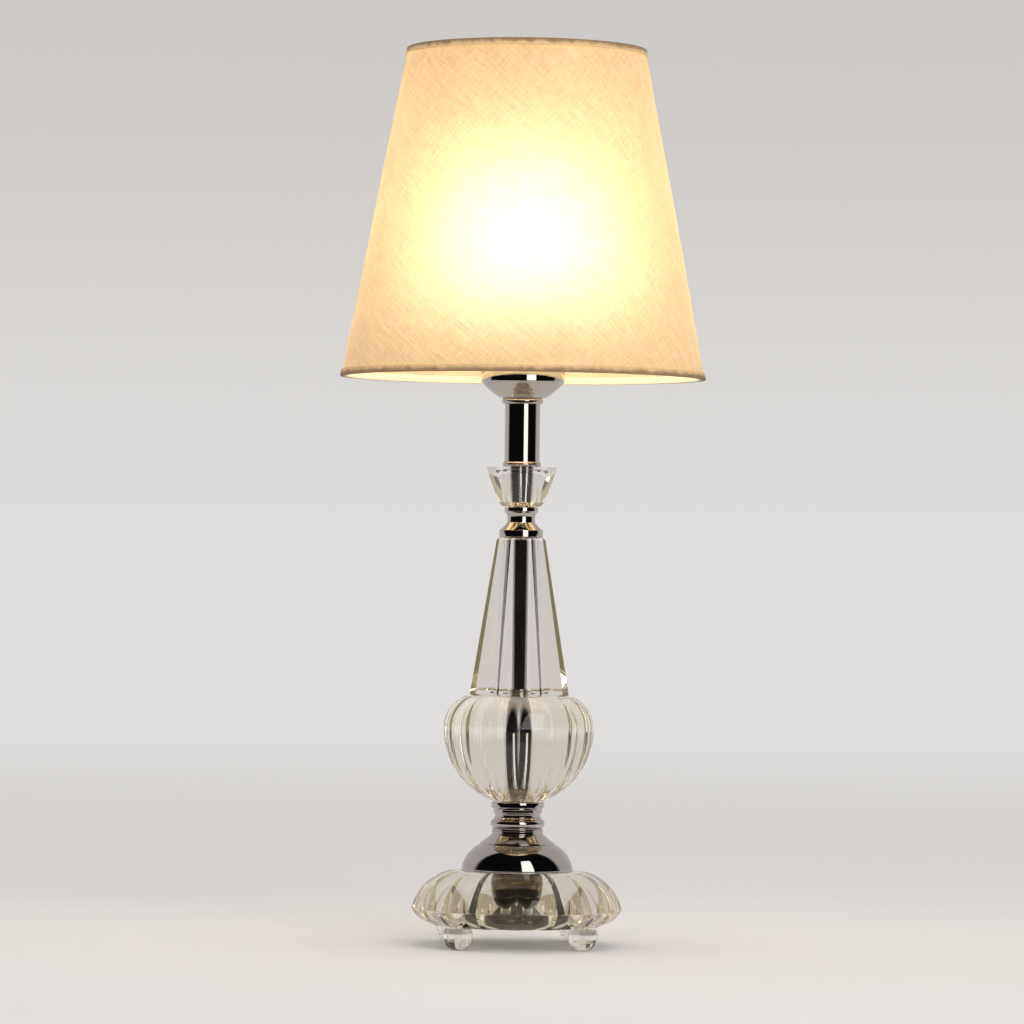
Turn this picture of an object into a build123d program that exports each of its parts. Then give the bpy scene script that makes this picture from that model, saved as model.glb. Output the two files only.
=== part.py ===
from build123d import *
import os
from math import asin, cos, degrees, radians, sin, sqrt

# Table lamp of cut crystal and chrome on a central threaded tube, with a tapered linen shade.
# Millimetres. Z is up, the floor is z = 0 and the tube's axis is x = y = 0. The front faces -Y.

os.makedirs("parts", exist_ok=True)

# ---------------------------------------------------------------- fits
SLIP = 0.3            # gap round a piece that is slipped over another
TURN = 0.5            # gap round a piece that turns by hand
GLUE = 0.1            # glue line between the layers of the shade

# ---------------------------------------------------------------- the tube that all is threaded on
ROD_D = 10.0
ROD_BORE_D = 8.0
ROD_TAIL = 0.8        # tube showing under the bottom nut
ROD_GRIP = 8.0        # tube screwed into the lampholder
SLEEVE_D = 15.4       # chrome sleeve seen through the crystal
SLEEVE_WALL = 0.8
GASKET_D = 22.0       # clear washer at each end of each crystal
GASKET_T = 0.5
NUT_FLATS = 14.0
NUT_H = 4.0
BASE_WASHER_D = 30.0
BASE_WASHER_T = 1.0

# ---------------------------------------------------------------- heights of the stack, floor upwards
FOOT_H = 14.0
DISC_H = 35.0
DOME_H = 30.0
COLLAR_H = 19.5
BALL_H = 69.5
CONE_H = 104.7
SPOOL_H = 20.1
CRYSTAL_CUP_H = 26.2
TUBE_FOOT_H = 3.0
TUBE_H = 38.8
TUBE_HEAD_H = 3.9

# ---------------------------------------------------------------- crystal feet
FOOT_D = 20.0
FOOT_PAD_D = 6.0      # facet that the foot stands on
FOOT_SIDES = 12
FOOT_ROWS = 5
FEET_CIRCLE_D = 116.6
FEET_TURN = 3.5       # degrees that the four feet are turned from the diagonals
FEET = ("foot_front_right", "foot_rear_right", "foot_rear_left", "foot_front_left")

# ---------------------------------------------------------------- fluted crystal disc
FLUTES = 16
DISC_D = 140.0
DISC_SEAT_D = 114.0   # flat underside
DISC_TOP_D = 94.0     # flat top
DISC_RIM_H = 9.5      # widest line above the underside
DISC_CROWN = 4.1      # bulge of the flutes
DISC_KEEL = 1.9       # bulge below the rim
DISC_RECESS = 2.5     # depth of the dome's seat in the flat top
NUT_RECESS = 2.2      # depth of the washer's seat in the underside

# ---------------------------------------------------------------- chrome bowl sunk in the disc
BOWL_D = 42.0
BOWL_ROUND = 15.0
BOWL_FLOOR = 5.0      # crystal left under the bowl
BOWL_FLANGE_D = 62.0
BOWL_WALL = 1.0

# ---------------------------------------------------------------- chrome dome and its cord outlet
DOME_D = 74.8
DOME_FOOT_D = 73.8
DOME_NECK_D = 34.2
DOME_NECK_H = 1.9
DOME_WAIST_H = 5.0    # widest line above the foot
DOME_FOOT_BULGE = 0.1
DOME_BULGE = 2.3
DOME_LEDGE_D = 50.4   # small ledge round the dome's shoulder
DOME_LEDGE_H = 21.3
DOME_LEDGE_STEP = 1.0
DOME_LEDGE_W = 0.6
DOME_HOLLOW = 0.2     # hollow of the slope above the ledge
DOME_WALL = 1.2
OUTLET_H = 10.0       # cord outlet above the dome's foot
OUTLET_BORE_D = 6.4
OUTLET_SLEEVE_D = 8.8
OUTLET_LIP_D = 12.0
OUTLET_PROUD = 2.5    # lip standing out of the dome's widest line
OUTLET_DEPTH = 8.0
WIRE_WINDOW_D = 6.0

# ---------------------------------------------------------------- beaded chrome collar under the ball
COLLAR_BEAD_D = 36.4
COLLAR_BEAD_EDGE_D = 32.8
COLLAR_WAIST_D = 30.6
COLLAR_RING_D = 32.6
COLLAR_LIP_D = 35.6
COLLAR_STEP_H = 1.2   # plain step on the dome's neck
COLLAR_BEAD_H = 5.8
COLLAR_WAIST_H = 1.7
COLLAR_RING_H = 1.8
COLLAR_SLOPE_H = 1.5  # each slope between two diameters
COLLAR_LIP_ROUND = 0.9

# ---------------------------------------------------------------- crystal ball, cone and cup
BALL_SIDES = 16
BALL_D = 99.8
BALL_FOOT_D = 36.0
BALL_TOP_D = 71.0
BALL_WAIST_H = 48.5
BALL_BELLY = 8.7
BALL_SHOULDER = 3.9
CONE_SIDES = 8
CONE_FOOT_FLATS = 66.0
CONE_TOP_FLATS = 32.2
CONE_BEVEL = 1.0
CUP_SIDES = 10
CUP_FOOT_FLATS = 24.6
CUP_HEEL_FLATS = 30.6
CUP_HEEL_H = 2.8
CUP_BAND_FLATS = 43.8
CUP_BAND_H = 5.4
CUP_TOP_FLATS = 46.8

# ---------------------------------------------------------------- chrome spool, tube and its two ends
SPOOL_FOOT_D = 29.4
SPOOL_FOOT_H = 4.9
SPOOL_WAIST_D = 18.6
SPOOL_WAIST_H = 10.1  # waist's lower end above the foot's underside
SPOOL_WAIST_L = 4.0
SPOOL_TOP_D = 22.8
SPOOL_TOP_H = 2.6
SPOOL_HOLLOW = 0.3
TUBE_D = 23.6
TUBE_WALL = 1.0
TUBE_FOOT_D = 25.7
TUBE_HEAD_D = 27.6
SPIGOT_H = 2.0

# ---------------------------------------------------------------- chrome drip cup
DRIP_FLOOR_D = 30.6
DRIP_KNEE_D = 55.8
DRIP_KNEE_H = 10.7
DRIP_RIM_D = 56.4
DRIP_H = 21.3
DRIP_BULGE = 0.6
DRIP_WALL = 1.0

# ---------------------------------------------------------------- E27 lampholder
HOLDER_BOSS_D = 17.0
HOLDER_BOSS_H = 3.5
HOLDER_CAP_D = 39.0
HOLDER_CAP_H = 18.0
HOLDER_SLOPE_H = 6.0
HOLDER_WALL = 2.0
SHOULDER_D = 45.0     # shoulder that carries the shade
SHOULDER_T = 2.6
SHOULDER_H = 4.4      # underside of the shoulder above the cap
THREAD_D = 39.4
HOLDER_BODY_H = 36.0
MOUTH_D = 31.5
CARRIER_T = 5.0
CARRIER_H = 2.0       # carrier's underside above the cap's top
SHELL_WALL = 0.5
SHELL_GAP = 0.35
SHELL_DROP = 3.0      # brass shell's top below the mouth
CONTACT_W = 6.0
CONTACT_T = 0.6
CONTACT_RISE = 2.0

# ---------------------------------------------------------------- ring nut that clamps the shade
RING_NUT_D = 46.0
RING_NUT_FLANGE_D = 52.0
RING_NUT_FLANGE_T = 2.0
RING_NUT_H = 8.0
RING_NUT_GAP = 0.15
RING_NUT_GRIPS = 24
GRIP_D = 3.0

# ---------------------------------------------------------------- E27 bulb
BULB_D = 60.0
BULB_LENGTH = 101.0
BULB_GLASS = 1.0
BULB_TIP_D = 9.0
BULB_TIP_H = 1.2
BULB_CONE_D = 18.0
BULB_CONE_H = 2.6
BULB_CAP_D = 26.0
BULB_CAP_H = 22.0
BULB_CAP_WALL = 0.4
BULB_NECK_TUCK = 8.0
BULB_THROAT = 3.0     # straight neck above the cap
BULB_SWEEP = 3.2      # hollow of the neck's sweep
BULB_SEAT_GAP = 0.15
STEM_D = 6.0
STEM_H = 34.0
LEAD_D = 0.8
FILAMENT_D = 0.9
FILAMENT_SPAN = 22.0
FILAMENT_RISE = 12.0
FILAMENT_SAG = 5.0

# ---------------------------------------------------------------- tapered shade
SHADE_BOTTOM_D = 244.0
SHADE_TOP_D = 160.0
SHADE_H = 219.5
SHADE_DROP = 17.0     # frame plate's underside above the shade's lower edge
FABRIC_T = 0.7
LINER_T = 0.4
HEM_T = 0.6
HEM_H = 4.6
RING_WIRE_D = 3.0
SPOKE_D = 3.2
SPOKES = 3
SPOKE_BEND_R = 45.0
PLATE_D = 54.0
PLATE_T = 2.0

# ---------------------------------------------------------------- levels worked out from the sizes
Z_DISC = FOOT_H
Z_CROWN = Z_DISC + DISC_H
Z_DOME = Z_CROWN - DISC_RECESS
Z_COLLAR = Z_DOME + DOME_H
Z_BALL = Z_COLLAR + COLLAR_H + GASKET_T
Z_CONE = Z_BALL + BALL_H + GASKET_T
Z_SPOOL = Z_CONE + CONE_H + GASKET_T
Z_CRYSTAL_CUP = Z_SPOOL + SPOOL_H + GASKET_T
Z_TUBE_FOOT = Z_CRYSTAL_CUP + CRYSTAL_CUP_H + GASKET_T
Z_TUBE = Z_TUBE_FOOT + TUBE_FOOT_H
Z_TUBE_HEAD = Z_TUBE + TUBE_H
Z_DRIP = Z_TUBE_HEAD + TUBE_HEAD_H
Z_TOP_NUT = Z_DRIP + DRIP_WALL
Z_HOLDER = Z_TOP_NUT + NUT_H + SLIP
Z_BODY = Z_HOLDER + HOLDER_CAP_H
Z_MOUTH = Z_BODY + HOLDER_BODY_H
Z_PLATE = Z_BODY + SHOULDER_H + SHOULDER_T
Z_SHADE = Z_PLATE - SHADE_DROP
Z_SHADE_TOP = Z_SHADE + SHADE_H
Z_CONTACT = Z_BODY + CARRIER_H + CARRIER_T
Z_TIP = Z_CONTACT + CONTACT_RISE + BULB_SEAT_GAP
Z_BASE_WASHER = Z_DISC + NUT_RECESS - BASE_WASHER_T
Z_BOTTOM_NUT = Z_BASE_WASHER - NUT_H

ROD_HOLE_R = ROD_D / 2 + SLIP
GLASS_BORE_R = SLEEVE_D / 2 + SLIP


# ---------------------------------------------------------------- ways of making
def outline(start, *steps):
    """Closed face. A step (r, z) is a straight line to that point; (r, z, bulge) is an arc to it.

    The arc's middle stands off the straight line by the bulge, to the right of the way it goes.
    """
    edges = []
    here = start
    for step in steps:
        there = step[:2]
        if len(step) == 3:
            run_r = there[0] - here[0]
            run_z = there[1] - here[1]
            chord = sqrt(run_r ** 2 + run_z ** 2)
            middle_r = (here[0] + there[0]) / 2 + step[2] * run_z / chord
            middle_z = (here[1] + there[1]) / 2 - step[2] * run_r / chord
            edges.append(ThreePointArc(here, (middle_r, middle_z), there))
        else:
            edges.append(Line(here, there))
        here = there
    edges.append(Line(here, start))
    return make_face(edges)


def turned(face):
    """Solid of revolution about the lamp's axis from a face drawn as (radius, height)."""
    return revolve(Plane.XZ * face, Axis.Z)


def ring(outer_r, inner_r, z, height):
    """Plain ring with flat ends, standing on height z."""
    face = outline((inner_r, z), (outer_r, z), (outer_r, z + height), (inner_r, z + height))
    return turned(face)


def cut_facets(levels, sides, turn=0.0):
    """Solid with flat facets: levels are (half width across flats, z), turn is in degrees."""
    rings = []
    for half, z in levels:
        corner_r = half / cos(radians(180 / sides))
        angles = [radians(turn + 360 / sides * k) for k in range(sides)]
        rings.append([Vector(corner_r * cos(a), corner_r * sin(a), z) for a in angles])
    faces = [Face(Wire.make_polygon(rings[0])), Face(Wire.make_polygon(rings[-1]))]
    for low, high in zip(rings, rings[1:]):
        for k in range(sides):
            after = (k + 1) % sides
            corners = [low[k], low[after], high[after], high[k]]
            faces.append(Face(Wire.make_polygon(corners)))
    return Solid(Shell(faces))


def ground_facets(half_profile, reach, sides):
    """Solid with curved facets, each one ground to the same profile; a ridge faces the front.

    half_profile(k) gives the outline of the right half with radii multiplied by k. Each pair of
    opposite facets is that outline carried straight across, and the solid is what all share.
    """
    right = half_profile(cos(radians(180 / sides)))
    across = right + mirror(right, Plane.YZ)
    bar = extrude(Plane.XZ * across, amount=reach, both=True)
    solid = None
    for k in range(sides // 2):
        turned_bar = Rot(0, 0, 360 / sides * (k + 0.5)) * bar
        solid = turned_bar if solid is None else solid & turned_bar
    return solid


def hex_nut(z):
    """Hexagon nut on the tube, its lower face at height z, with chamfered corners."""
    nut = Pos(0, 0, z) * extrude(RegularPolygon(NUT_FLATS / 2, 6, major_radius=False), NUT_H)
    corner_r = NUT_FLATS / 2 / cos(radians(30))
    bevel = corner_r - NUT_FLATS / 2
    barrel = outline(
        (0, z),
        (NUT_FLATS / 2, z),
        (corner_r, z + bevel),
        (corner_r, z + NUT_H - bevel),
        (NUT_FLATS / 2, z + NUT_H),
        (0, z + NUT_H),
    )
    bore = Pos(0, 0, z + NUT_H / 2) * Cylinder(ROD_HOLE_R, NUT_H + 1)
    return (nut & turned(barrel)) - bore


# ---------------------------------------------------------------- base
def foot(number):
    """Cut crystal bead, flat under the disc and on the floor."""
    radius = FOOT_D / 2
    centre_z = sqrt(radius ** 2 - (FOOT_PAD_D / 2) ** 2)
    low = asin(-centre_z / radius)
    high = asin((FOOT_H - centre_z) / radius)
    rows = [low + (high - low) * k / FOOT_ROWS for k in range(FOOT_ROWS + 1)]
    levels = [(radius * cos(row), centre_z + radius * sin(row)) for row in rows]
    around = radians(-45 + FEET_TURN + 90 * number)
    place = Pos(FEET_CIRCLE_D / 2 * cos(around), FEET_CIRCLE_D / 2 * sin(around), 0)
    return place * cut_facets(levels, FOOT_SIDES, 90 + degrees(around))


def disc_half(k):
    rim_z = Z_DISC + DISC_RIM_H
    return outline(
        (0, Z_DISC),
        (k * DISC_SEAT_D / 2, Z_DISC),
        (k * DISC_D / 2, rim_z, DISC_KEEL),
        (k * DISC_TOP_D / 2, Z_CROWN, DISC_CROWN),
        (0, Z_CROWN),
    )


def bowl_outline(grow):
    """Outer form of the sunk bowl as a plug, larger all round by grow."""
    radius = BOWL_D / 2 + grow
    rounding = BOWL_ROUND + grow
    floor_z = Z_DISC + BOWL_FLOOR + SLIP - grow
    return outline(
        (0, floor_z),
        (radius - rounding, floor_z),
        (radius, floor_z + rounding, rounding * (1 - sqrt(0.5))),
        (radius, Z_DOME),
        (0, Z_DOME),
    )


def crystal_disc():
    """Fluted disc with a seat for the dome, a well for the bowl, and a hole and recess for the tube."""
    disc = ground_facets(disc_half, DISC_D, FLUTES)
    seat = Pos(0, 0, Z_CROWN) * Cylinder(DOME_D / 2 + SLIP, 2 * DISC_RECESS)
    well = turned(bowl_outline(SLIP))
    hole = Pos(0, 0, Z_DISC) * Cylinder(ROD_HOLE_R, 4 * BOWL_FLOOR)
    recess = Pos(0, 0, Z_DISC) * Cylinder(BASE_WASHER_D / 2 + TURN, 2 * NUT_RECESS)
    return disc - seat - well - hole - recess


def base_bowl():
    """Spun chrome bowl that hangs in the disc's well by its flange."""
    inside = turned(bowl_outline(-BOWL_WALL))
    flange = ring(BOWL_FLANGE_D / 2, BOWL_D / 2 - BOWL_WALL, Z_DOME, BOWL_WALL)
    hole = Pos(0, 0, Z_DISC) * Cylinder(ROD_HOLE_R, 6 * BOWL_FLOOR)
    return turned(bowl_outline(0)) - inside + flange - hole


def dome_outline(grow):
    """Dome's outer form as a plug, larger all round by grow."""
    neck_r = DOME_NECK_D / 2 + grow
    ledge_r = DOME_LEDGE_D / 2 + grow
    ledge_z = Z_DOME + DOME_LEDGE_H + grow
    return outline(
        (0, Z_DOME),
        (DOME_FOOT_D / 2 + grow, Z_DOME),
        (DOME_D / 2 + grow, Z_DOME + DOME_WAIST_H, DOME_FOOT_BULGE),
        (ledge_r, ledge_z, DOME_BULGE),
        (ledge_r, ledge_z + DOME_LEDGE_STEP),
        (ledge_r - DOME_LEDGE_W, ledge_z + DOME_LEDGE_STEP),
        (neck_r, Z_COLLAR + grow - DOME_NECK_H, -DOME_HOLLOW),
        (neck_r, Z_COLLAR + grow),
        (0, Z_COLLAR + grow),
    )


def outlet_pin(diameter, start, end):
    """Round bar along the cord outlet, from start to end behind the axis."""
    bar = Cylinder(diameter / 2, end - start, align=(Align.CENTER, Align.CENTER, Align.MIN))
    return Pos(0, start, Z_DOME + OUTLET_H) * Rot(-90, 0, 0) * bar


def base_dome():
    """Spun chrome dome, open below, with the cord's hole behind."""
    shell = turned(dome_outline(0)) - turned(dome_outline(-DOME_WALL))
    top_hole = Pos(0, 0, Z_COLLAR) * Cylinder(ROD_HOLE_R, 4 * DOME_WALL)
    cord_hole = outlet_pin(OUTLET_SLEEVE_D + 2 * GLUE, 0, DOME_D)
    return shell - top_hole - cord_hole


def cord_outlet():
    """Moulded bushing in the dome's back, where the cord would leave."""
    outer_y = DOME_D / 2 + OUTLET_PROUD
    lip = outlet_pin(OUTLET_LIP_D, outer_y - OUTLET_DEPTH, outer_y) - turned(dome_outline(GLUE))
    sleeve = outlet_pin(OUTLET_SLEEVE_D, outer_y - OUTLET_DEPTH, outer_y - OUTLET_PROUD / 2)
    return lip + sleeve - outlet_pin(OUTLET_BORE_D, 0, DOME_D)


def base_collar():
    """Turned collar from the dome's neck to the ball: a bead, a waist, a ring and a lip."""
    neck_r = DOME_NECK_D / 2
    edge_r = COLLAR_BEAD_EDGE_D / 2
    waist_r = COLLAR_WAIST_D / 2
    ring_r = COLLAR_RING_D / 2
    lip_r = COLLAR_LIP_D / 2
    step_z = Z_COLLAR + COLLAR_STEP_H
    bead_z = step_z + (neck_r - edge_r)
    bead_top = bead_z + COLLAR_BEAD_H
    waist_z = bead_top + COLLAR_SLOPE_H
    ring_z = waist_z + COLLAR_WAIST_H + COLLAR_SLOPE_H
    lip_z = ring_z + COLLAR_RING_H + COLLAR_SLOPE_H
    top_z = Z_COLLAR + COLLAR_H
    return turned(outline(
        (ROD_HOLE_R, Z_COLLAR),
        (neck_r, Z_COLLAR),
        (neck_r, step_z),
        (edge_r, bead_z),
        (edge_r, bead_top, (COLLAR_BEAD_D - COLLAR_BEAD_EDGE_D) / 2),
        (waist_r, waist_z),
        (waist_r, ring_z - COLLAR_SLOPE_H),
        (ring_r, ring_z),
        (ring_r, ring_z + COLLAR_RING_H),
        (lip_r, lip_z),
        (lip_r, top_z - COLLAR_LIP_ROUND),
        (lip_r - COLLAR_LIP_ROUND, top_z, 0.3 * COLLAR_LIP_ROUND),
        (ROD_HOLE_R, top_z),
    ))


# ---------------------------------------------------------------- column
def ball_half(k):
    return outline(
        (0, Z_BALL),
        (k * BALL_FOOT_D / 2, Z_BALL),
        (k * BALL_D / 2, Z_BALL + BALL_WAIST_H, BALL_BELLY),
        (k * BALL_TOP_D / 2, Z_BALL + BALL_H, BALL_SHOULDER),
        (0, Z_BALL + BALL_H),
    )


def glass_bore(z, height):
    """Hole down a crystal for the sleeve."""
    return Pos(0, 0, z + height / 2) * Cylinder(GLASS_BORE_R, height + 2)


def crystal_ball():
    """Melon-cut ball, a ridge at the front."""
    return ground_facets(ball_half, BALL_D, BALL_SIDES) - glass_bore(Z_BALL, BALL_H)


def crystal_cone():
    """Tapered eight-sided column, a flat at the front."""
    slope = (CONE_FOOT_FLATS - CONE_TOP_FLATS) / 2 / CONE_H
    levels = [
        (CONE_FOOT_FLATS / 2 - CONE_BEVEL, Z_CONE),
        (CONE_FOOT_FLATS / 2 - slope * CONE_BEVEL, Z_CONE + CONE_BEVEL),
        (CONE_TOP_FLATS / 2 + slope * CONE_BEVEL, Z_CONE + CONE_H - CONE_BEVEL),
        (CONE_TOP_FLATS / 2 - CONE_BEVEL, Z_CONE + CONE_H),
    ]
    return cut_facets(levels, CONE_SIDES, 180 / CONE_SIDES) - glass_bore(Z_CONE, CONE_H)


def crystal_cup():
    """Small flared crystal with ten facets, a bevelled heel and an upright band."""
    levels = [
        (CUP_FOOT_FLATS / 2, Z_CRYSTAL_CUP),
        (CUP_HEEL_FLATS / 2, Z_CRYSTAL_CUP + CUP_HEEL_H),
        (CUP_BAND_FLATS / 2, Z_CRYSTAL_CUP + CRYSTAL_CUP_H - CUP_BAND_H),
        (CUP_TOP_FLATS / 2, Z_CRYSTAL_CUP + CRYSTAL_CUP_H),
    ]
    return cut_facets(levels, CUP_SIDES, 90) - glass_bore(Z_CRYSTAL_CUP, CRYSTAL_CUP_H)


def sleeve(z, z_end):
    """Chrome tube that hides the threaded tube inside the crystal."""
    return ring(SLEEVE_D / 2, SLEEVE_D / 2 - SLEEVE_WALL, z, z_end - z)


def clear_gaskets():
    """Five clear washers, one at each joint of crystal and its neighbour."""
    levels = (Z_BALL, Z_CONE, Z_SPOOL, Z_CRYSTAL_CUP, Z_TUBE_FOOT)
    washers = [ring(GASKET_D / 2, GLASS_BORE_R, z - GASKET_T, GASKET_T) for z in levels]
    return Compound(children=washers)


def neck_spool():
    """Turned spool between cone and cup; its bore takes the ends of both sleeves."""
    foot_r = SPOOL_FOOT_D / 2
    waist_z = Z_SPOOL + SPOOL_WAIST_H
    top_z = Z_SPOOL + SPOOL_H
    return turned(outline(
        (ROD_HOLE_R, Z_SPOOL),
        (foot_r - 0.6, Z_SPOOL),
        (foot_r, Z_SPOOL + 0.8, 0.2),
        (foot_r, Z_SPOOL + SPOOL_FOOT_H),
        (SPOOL_WAIST_D / 2, waist_z, -SPOOL_HOLLOW),
        (SPOOL_WAIST_D / 2, waist_z + SPOOL_WAIST_L),
        (SPOOL_TOP_D / 2, top_z - SPOOL_TOP_H, -SPOOL_HOLLOW),
        (SPOOL_TOP_D / 2, top_z),
        (ROD_HOLE_R, top_z),
    ))


def spigot(z):
    """Centring ring inside an end of the chrome tube."""
    return ring(TUBE_D / 2 - TUBE_WALL - SLIP, ROD_HOLE_R, z, SPIGOT_H)


def tube_end(diameter, z, height):
    """Bead with rounded edges at an end of the chrome tube."""
    radius = diameter / 2
    return turned(outline(
        (ROD_HOLE_R, z),
        (radius - 0.5, z),
        (radius - 0.5, z + height, 0.5),
        (ROD_HOLE_R, z + height),
    ))


def drip_outline(grow):
    """Outer form of the drip cup as a plug, larger all round by grow."""
    return outline(
        (0, Z_DRIP - grow),
        (DRIP_FLOOR_D / 2 + grow / 2, Z_DRIP - grow),
        (DRIP_KNEE_D / 2 + grow, Z_DRIP + DRIP_KNEE_H, DRIP_BULGE),
        (DRIP_RIM_D / 2 + grow, Z_DRIP + DRIP_H),
        (0, Z_DRIP + DRIP_H),
    )


def drip_cup():
    """Spun chrome cup round the foot of the lampholder, open above."""
    hole = Pos(0, 0, Z_DRIP) * Cylinder(ROD_HOLE_R, 4 * DRIP_WALL)
    return turned(drip_outline(0)) - turned(drip_outline(-DRIP_WALL)) - hole


def centre_rod():
    """Hollow threaded tube with a window for the wires inside the dome."""
    low = Z_BOTTOM_NUT - ROD_TAIL
    rod = ring(ROD_D / 2, ROD_BORE_D / 2, low, Z_HOLDER + ROD_GRIP - low)
    return rod - outlet_pin(WIRE_WINDOW_D, 0, ROD_D)


# ---------------------------------------------------------------- lampholder
def holder_cap():
    """Lower half of the lampholder, screwed on the tube."""
    cap_r = HOLDER_CAP_D / 2
    slope_z = Z_HOLDER + HOLDER_BOSS_H + HOLDER_SLOPE_H
    boss_z = Z_HOLDER + HOLDER_BOSS_H
    return turned(outline(
        (ROD_HOLE_R, Z_HOLDER),
        (HOLDER_BOSS_D / 2, Z_HOLDER),
        (HOLDER_BOSS_D / 2, boss_z),
        (cap_r, slope_z, 0.8),
        (cap_r, Z_BODY),
        (cap_r - HOLDER_WALL, Z_BODY),
        (cap_r - HOLDER_WALL, slope_z + HOLDER_WALL / 2),
        (HOLDER_BOSS_D / 2, boss_z + HOLDER_WALL),
        (ROD_HOLE_R, boss_z + HOLDER_WALL),
    ))


def holder_body():
    """Upper half of the lampholder: shoulder, thread for the ring nut, and mouth."""
    thread_r = THREAD_D / 2
    shoulder_z = Z_BODY + SHOULDER_H
    inner_r = thread_r - HOLDER_WALL
    return turned(outline(
        (inner_r, Z_BODY),
        (HOLDER_CAP_D / 2, Z_BODY),
        (HOLDER_CAP_D / 2, shoulder_z),
        (SHOULDER_D / 2, shoulder_z),
        (SHOULDER_D / 2, Z_PLATE),
        (thread_r, Z_PLATE),
        (thread_r, Z_MOUTH - HOLDER_WALL),
        (thread_r - HOLDER_WALL, Z_MOUTH, 0.6),
        (MOUTH_D / 2, Z_MOUTH),
        (MOUTH_D / 2, Z_MOUTH - HOLDER_WALL),
        (inner_r, Z_MOUTH - HOLDER_WALL),
    ))


def contact_carrier():
    """Ceramic disc that carries the contacts, held in the holder's body."""
    return ring(THREAD_D / 2 - HOLDER_WALL - SLIP, LEAD_D, Z_BODY + CARRIER_H, CARRIER_T)


def screw_shell():
    """Brass shell that the bulb screws into, standing on the carrier."""
    inner_r = BULB_CAP_D / 2 + SHELL_GAP
    shell_top = Z_MOUTH - SHELL_DROP
    return ring(inner_r + SHELL_WALL, inner_r, Z_CONTACT, shell_top - Z_CONTACT)


def centre_contact():
    """Bent brass tongue under the bulb's tip."""
    profile = Polyline(
        (-CONTACT_W, Z_CONTACT),
        (CONTACT_W, Z_CONTACT),
        (CONTACT_W, Z_CONTACT + CONTACT_T),
        (CONTACT_W / 2, Z_CONTACT + CONTACT_RISE),
        (-CONTACT_W, Z_CONTACT + CONTACT_RISE),
        (-CONTACT_W, Z_CONTACT + CONTACT_RISE - CONTACT_T),
        (CONTACT_W / 2 - CONTACT_T, Z_CONTACT + CONTACT_RISE - CONTACT_T),
        (CONTACT_W / 2, Z_CONTACT + CONTACT_T),
        (-CONTACT_W, Z_CONTACT + CONTACT_T),
        close=True,
    )
    return extrude(Plane.XZ * make_face(profile), CONTACT_W / 2, both=True)


def shade_ring_nut():
    """Ring nut with a flange and finger grips, run down on to the shade's plate."""
    z = Z_PLATE + PLATE_T
    inner_r = THREAD_D / 2 + RING_NUT_GAP
    flange = ring(RING_NUT_FLANGE_D / 2, inner_r, z, RING_NUT_FLANGE_T)
    barrel = ring(RING_NUT_D / 2, inner_r, z, RING_NUT_H)
    grip_z = z + RING_NUT_FLANGE_T
    groove = Pos(RING_NUT_D / 2 + GRIP_D / 3, 0, grip_z) * Cylinder(
        GRIP_D / 2, RING_NUT_H, align=(Align.CENTER, Align.CENTER, Align.MIN)
    )
    for k in range(RING_NUT_GRIPS):
        barrel -= Rot(0, 0, 360 / RING_NUT_GRIPS * k) * groove
    return barrel + flange


# ---------------------------------------------------------------- bulb
def bulb_tip():
    """Solder tip that meets the centre contact."""
    face = outline(
        (0, Z_TIP),
        (BULB_TIP_D / 4, Z_TIP),
        (BULB_TIP_D / 2, Z_TIP + BULB_TIP_H, 0.3),
        (0, Z_TIP + BULB_TIP_H),
    )
    return turned(face)


def bulb_insulator():
    """Black glass cone between the tip and the screw cap."""
    z = Z_TIP + BULB_TIP_H
    top_z = z + BULB_CONE_H
    return turned(outline((0, z), (BULB_TIP_D / 2, z), (BULB_CONE_D / 2, top_z), (0, top_z)))


def bulb_cap():
    """Thin metal screw cap, open above."""
    z = Z_TIP + BULB_TIP_H + BULB_CONE_H
    cap_r = BULB_CAP_D / 2
    wall = BULB_CAP_WALL
    heel = cap_r - BULB_CONE_D / 2
    return turned(outline(
        (0, z),
        (BULB_CONE_D / 2, z),
        (cap_r, z + heel),
        (cap_r, z + BULB_CAP_H),
        (cap_r - wall, z + BULB_CAP_H),
        (cap_r - wall, z + heel + wall / 2),
        (BULB_CONE_D / 2 - wall / 2, z + wall),
        (0, z + wall),
    ))


def bulb_outline(inset):
    """Envelope's outer form as a plug, smaller all round by inset."""
    cap_top = Z_TIP + BULB_TIP_H + BULB_CONE_H + BULB_CAP_H
    neck_r = BULB_CAP_D / 2 - BULB_CAP_WALL - SLIP
    belly_r = BULB_D / 2
    belly_z = Z_TIP + BULB_LENGTH - belly_r
    # the sweep of the neck meets the round of the belly 20 degrees under its widest line
    lean = radians(20)
    meet = ((belly_r - inset) * cos(lean), belly_z - (belly_r - inset) * sin(lean))
    crown = (0, belly_z + belly_r - inset)
    crown_bulge = (belly_r - inset) * (1 - cos((radians(90) + lean) / 2))
    return outline(
        (0, cap_top - BULB_NECK_TUCK),
        (neck_r - inset, cap_top - BULB_NECK_TUCK),
        (neck_r - inset, cap_top + BULB_THROAT),
        (meet[0], meet[1], -BULB_SWEEP),
        (crown[0], crown[1], crown_bulge),
    )


def bulb_glass():
    """Blown envelope, open at the neck, tucked into the cap."""
    return turned(bulb_outline(0)) - turned(bulb_outline(BULB_GLASS))


def stem_foot_z():
    return Z_TIP + BULB_TIP_H + BULB_CONE_H + BULB_CAP_H - BULB_NECK_TUCK


def bulb_stem():
    """Flared glass stem that carries the filament."""
    z = stem_foot_z()
    flare_r = BULB_CAP_D / 2 - BULB_CAP_WALL - SLIP - BULB_GLASS - GLUE
    return turned(outline(
        (0, z),
        (flare_r, z),
        (flare_r, z + 1),
        (STEM_D / 2, z + flare_r, -1.5),
        (STEM_D / 2, z + STEM_H),
        (0, z + STEM_H),
    ))


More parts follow.
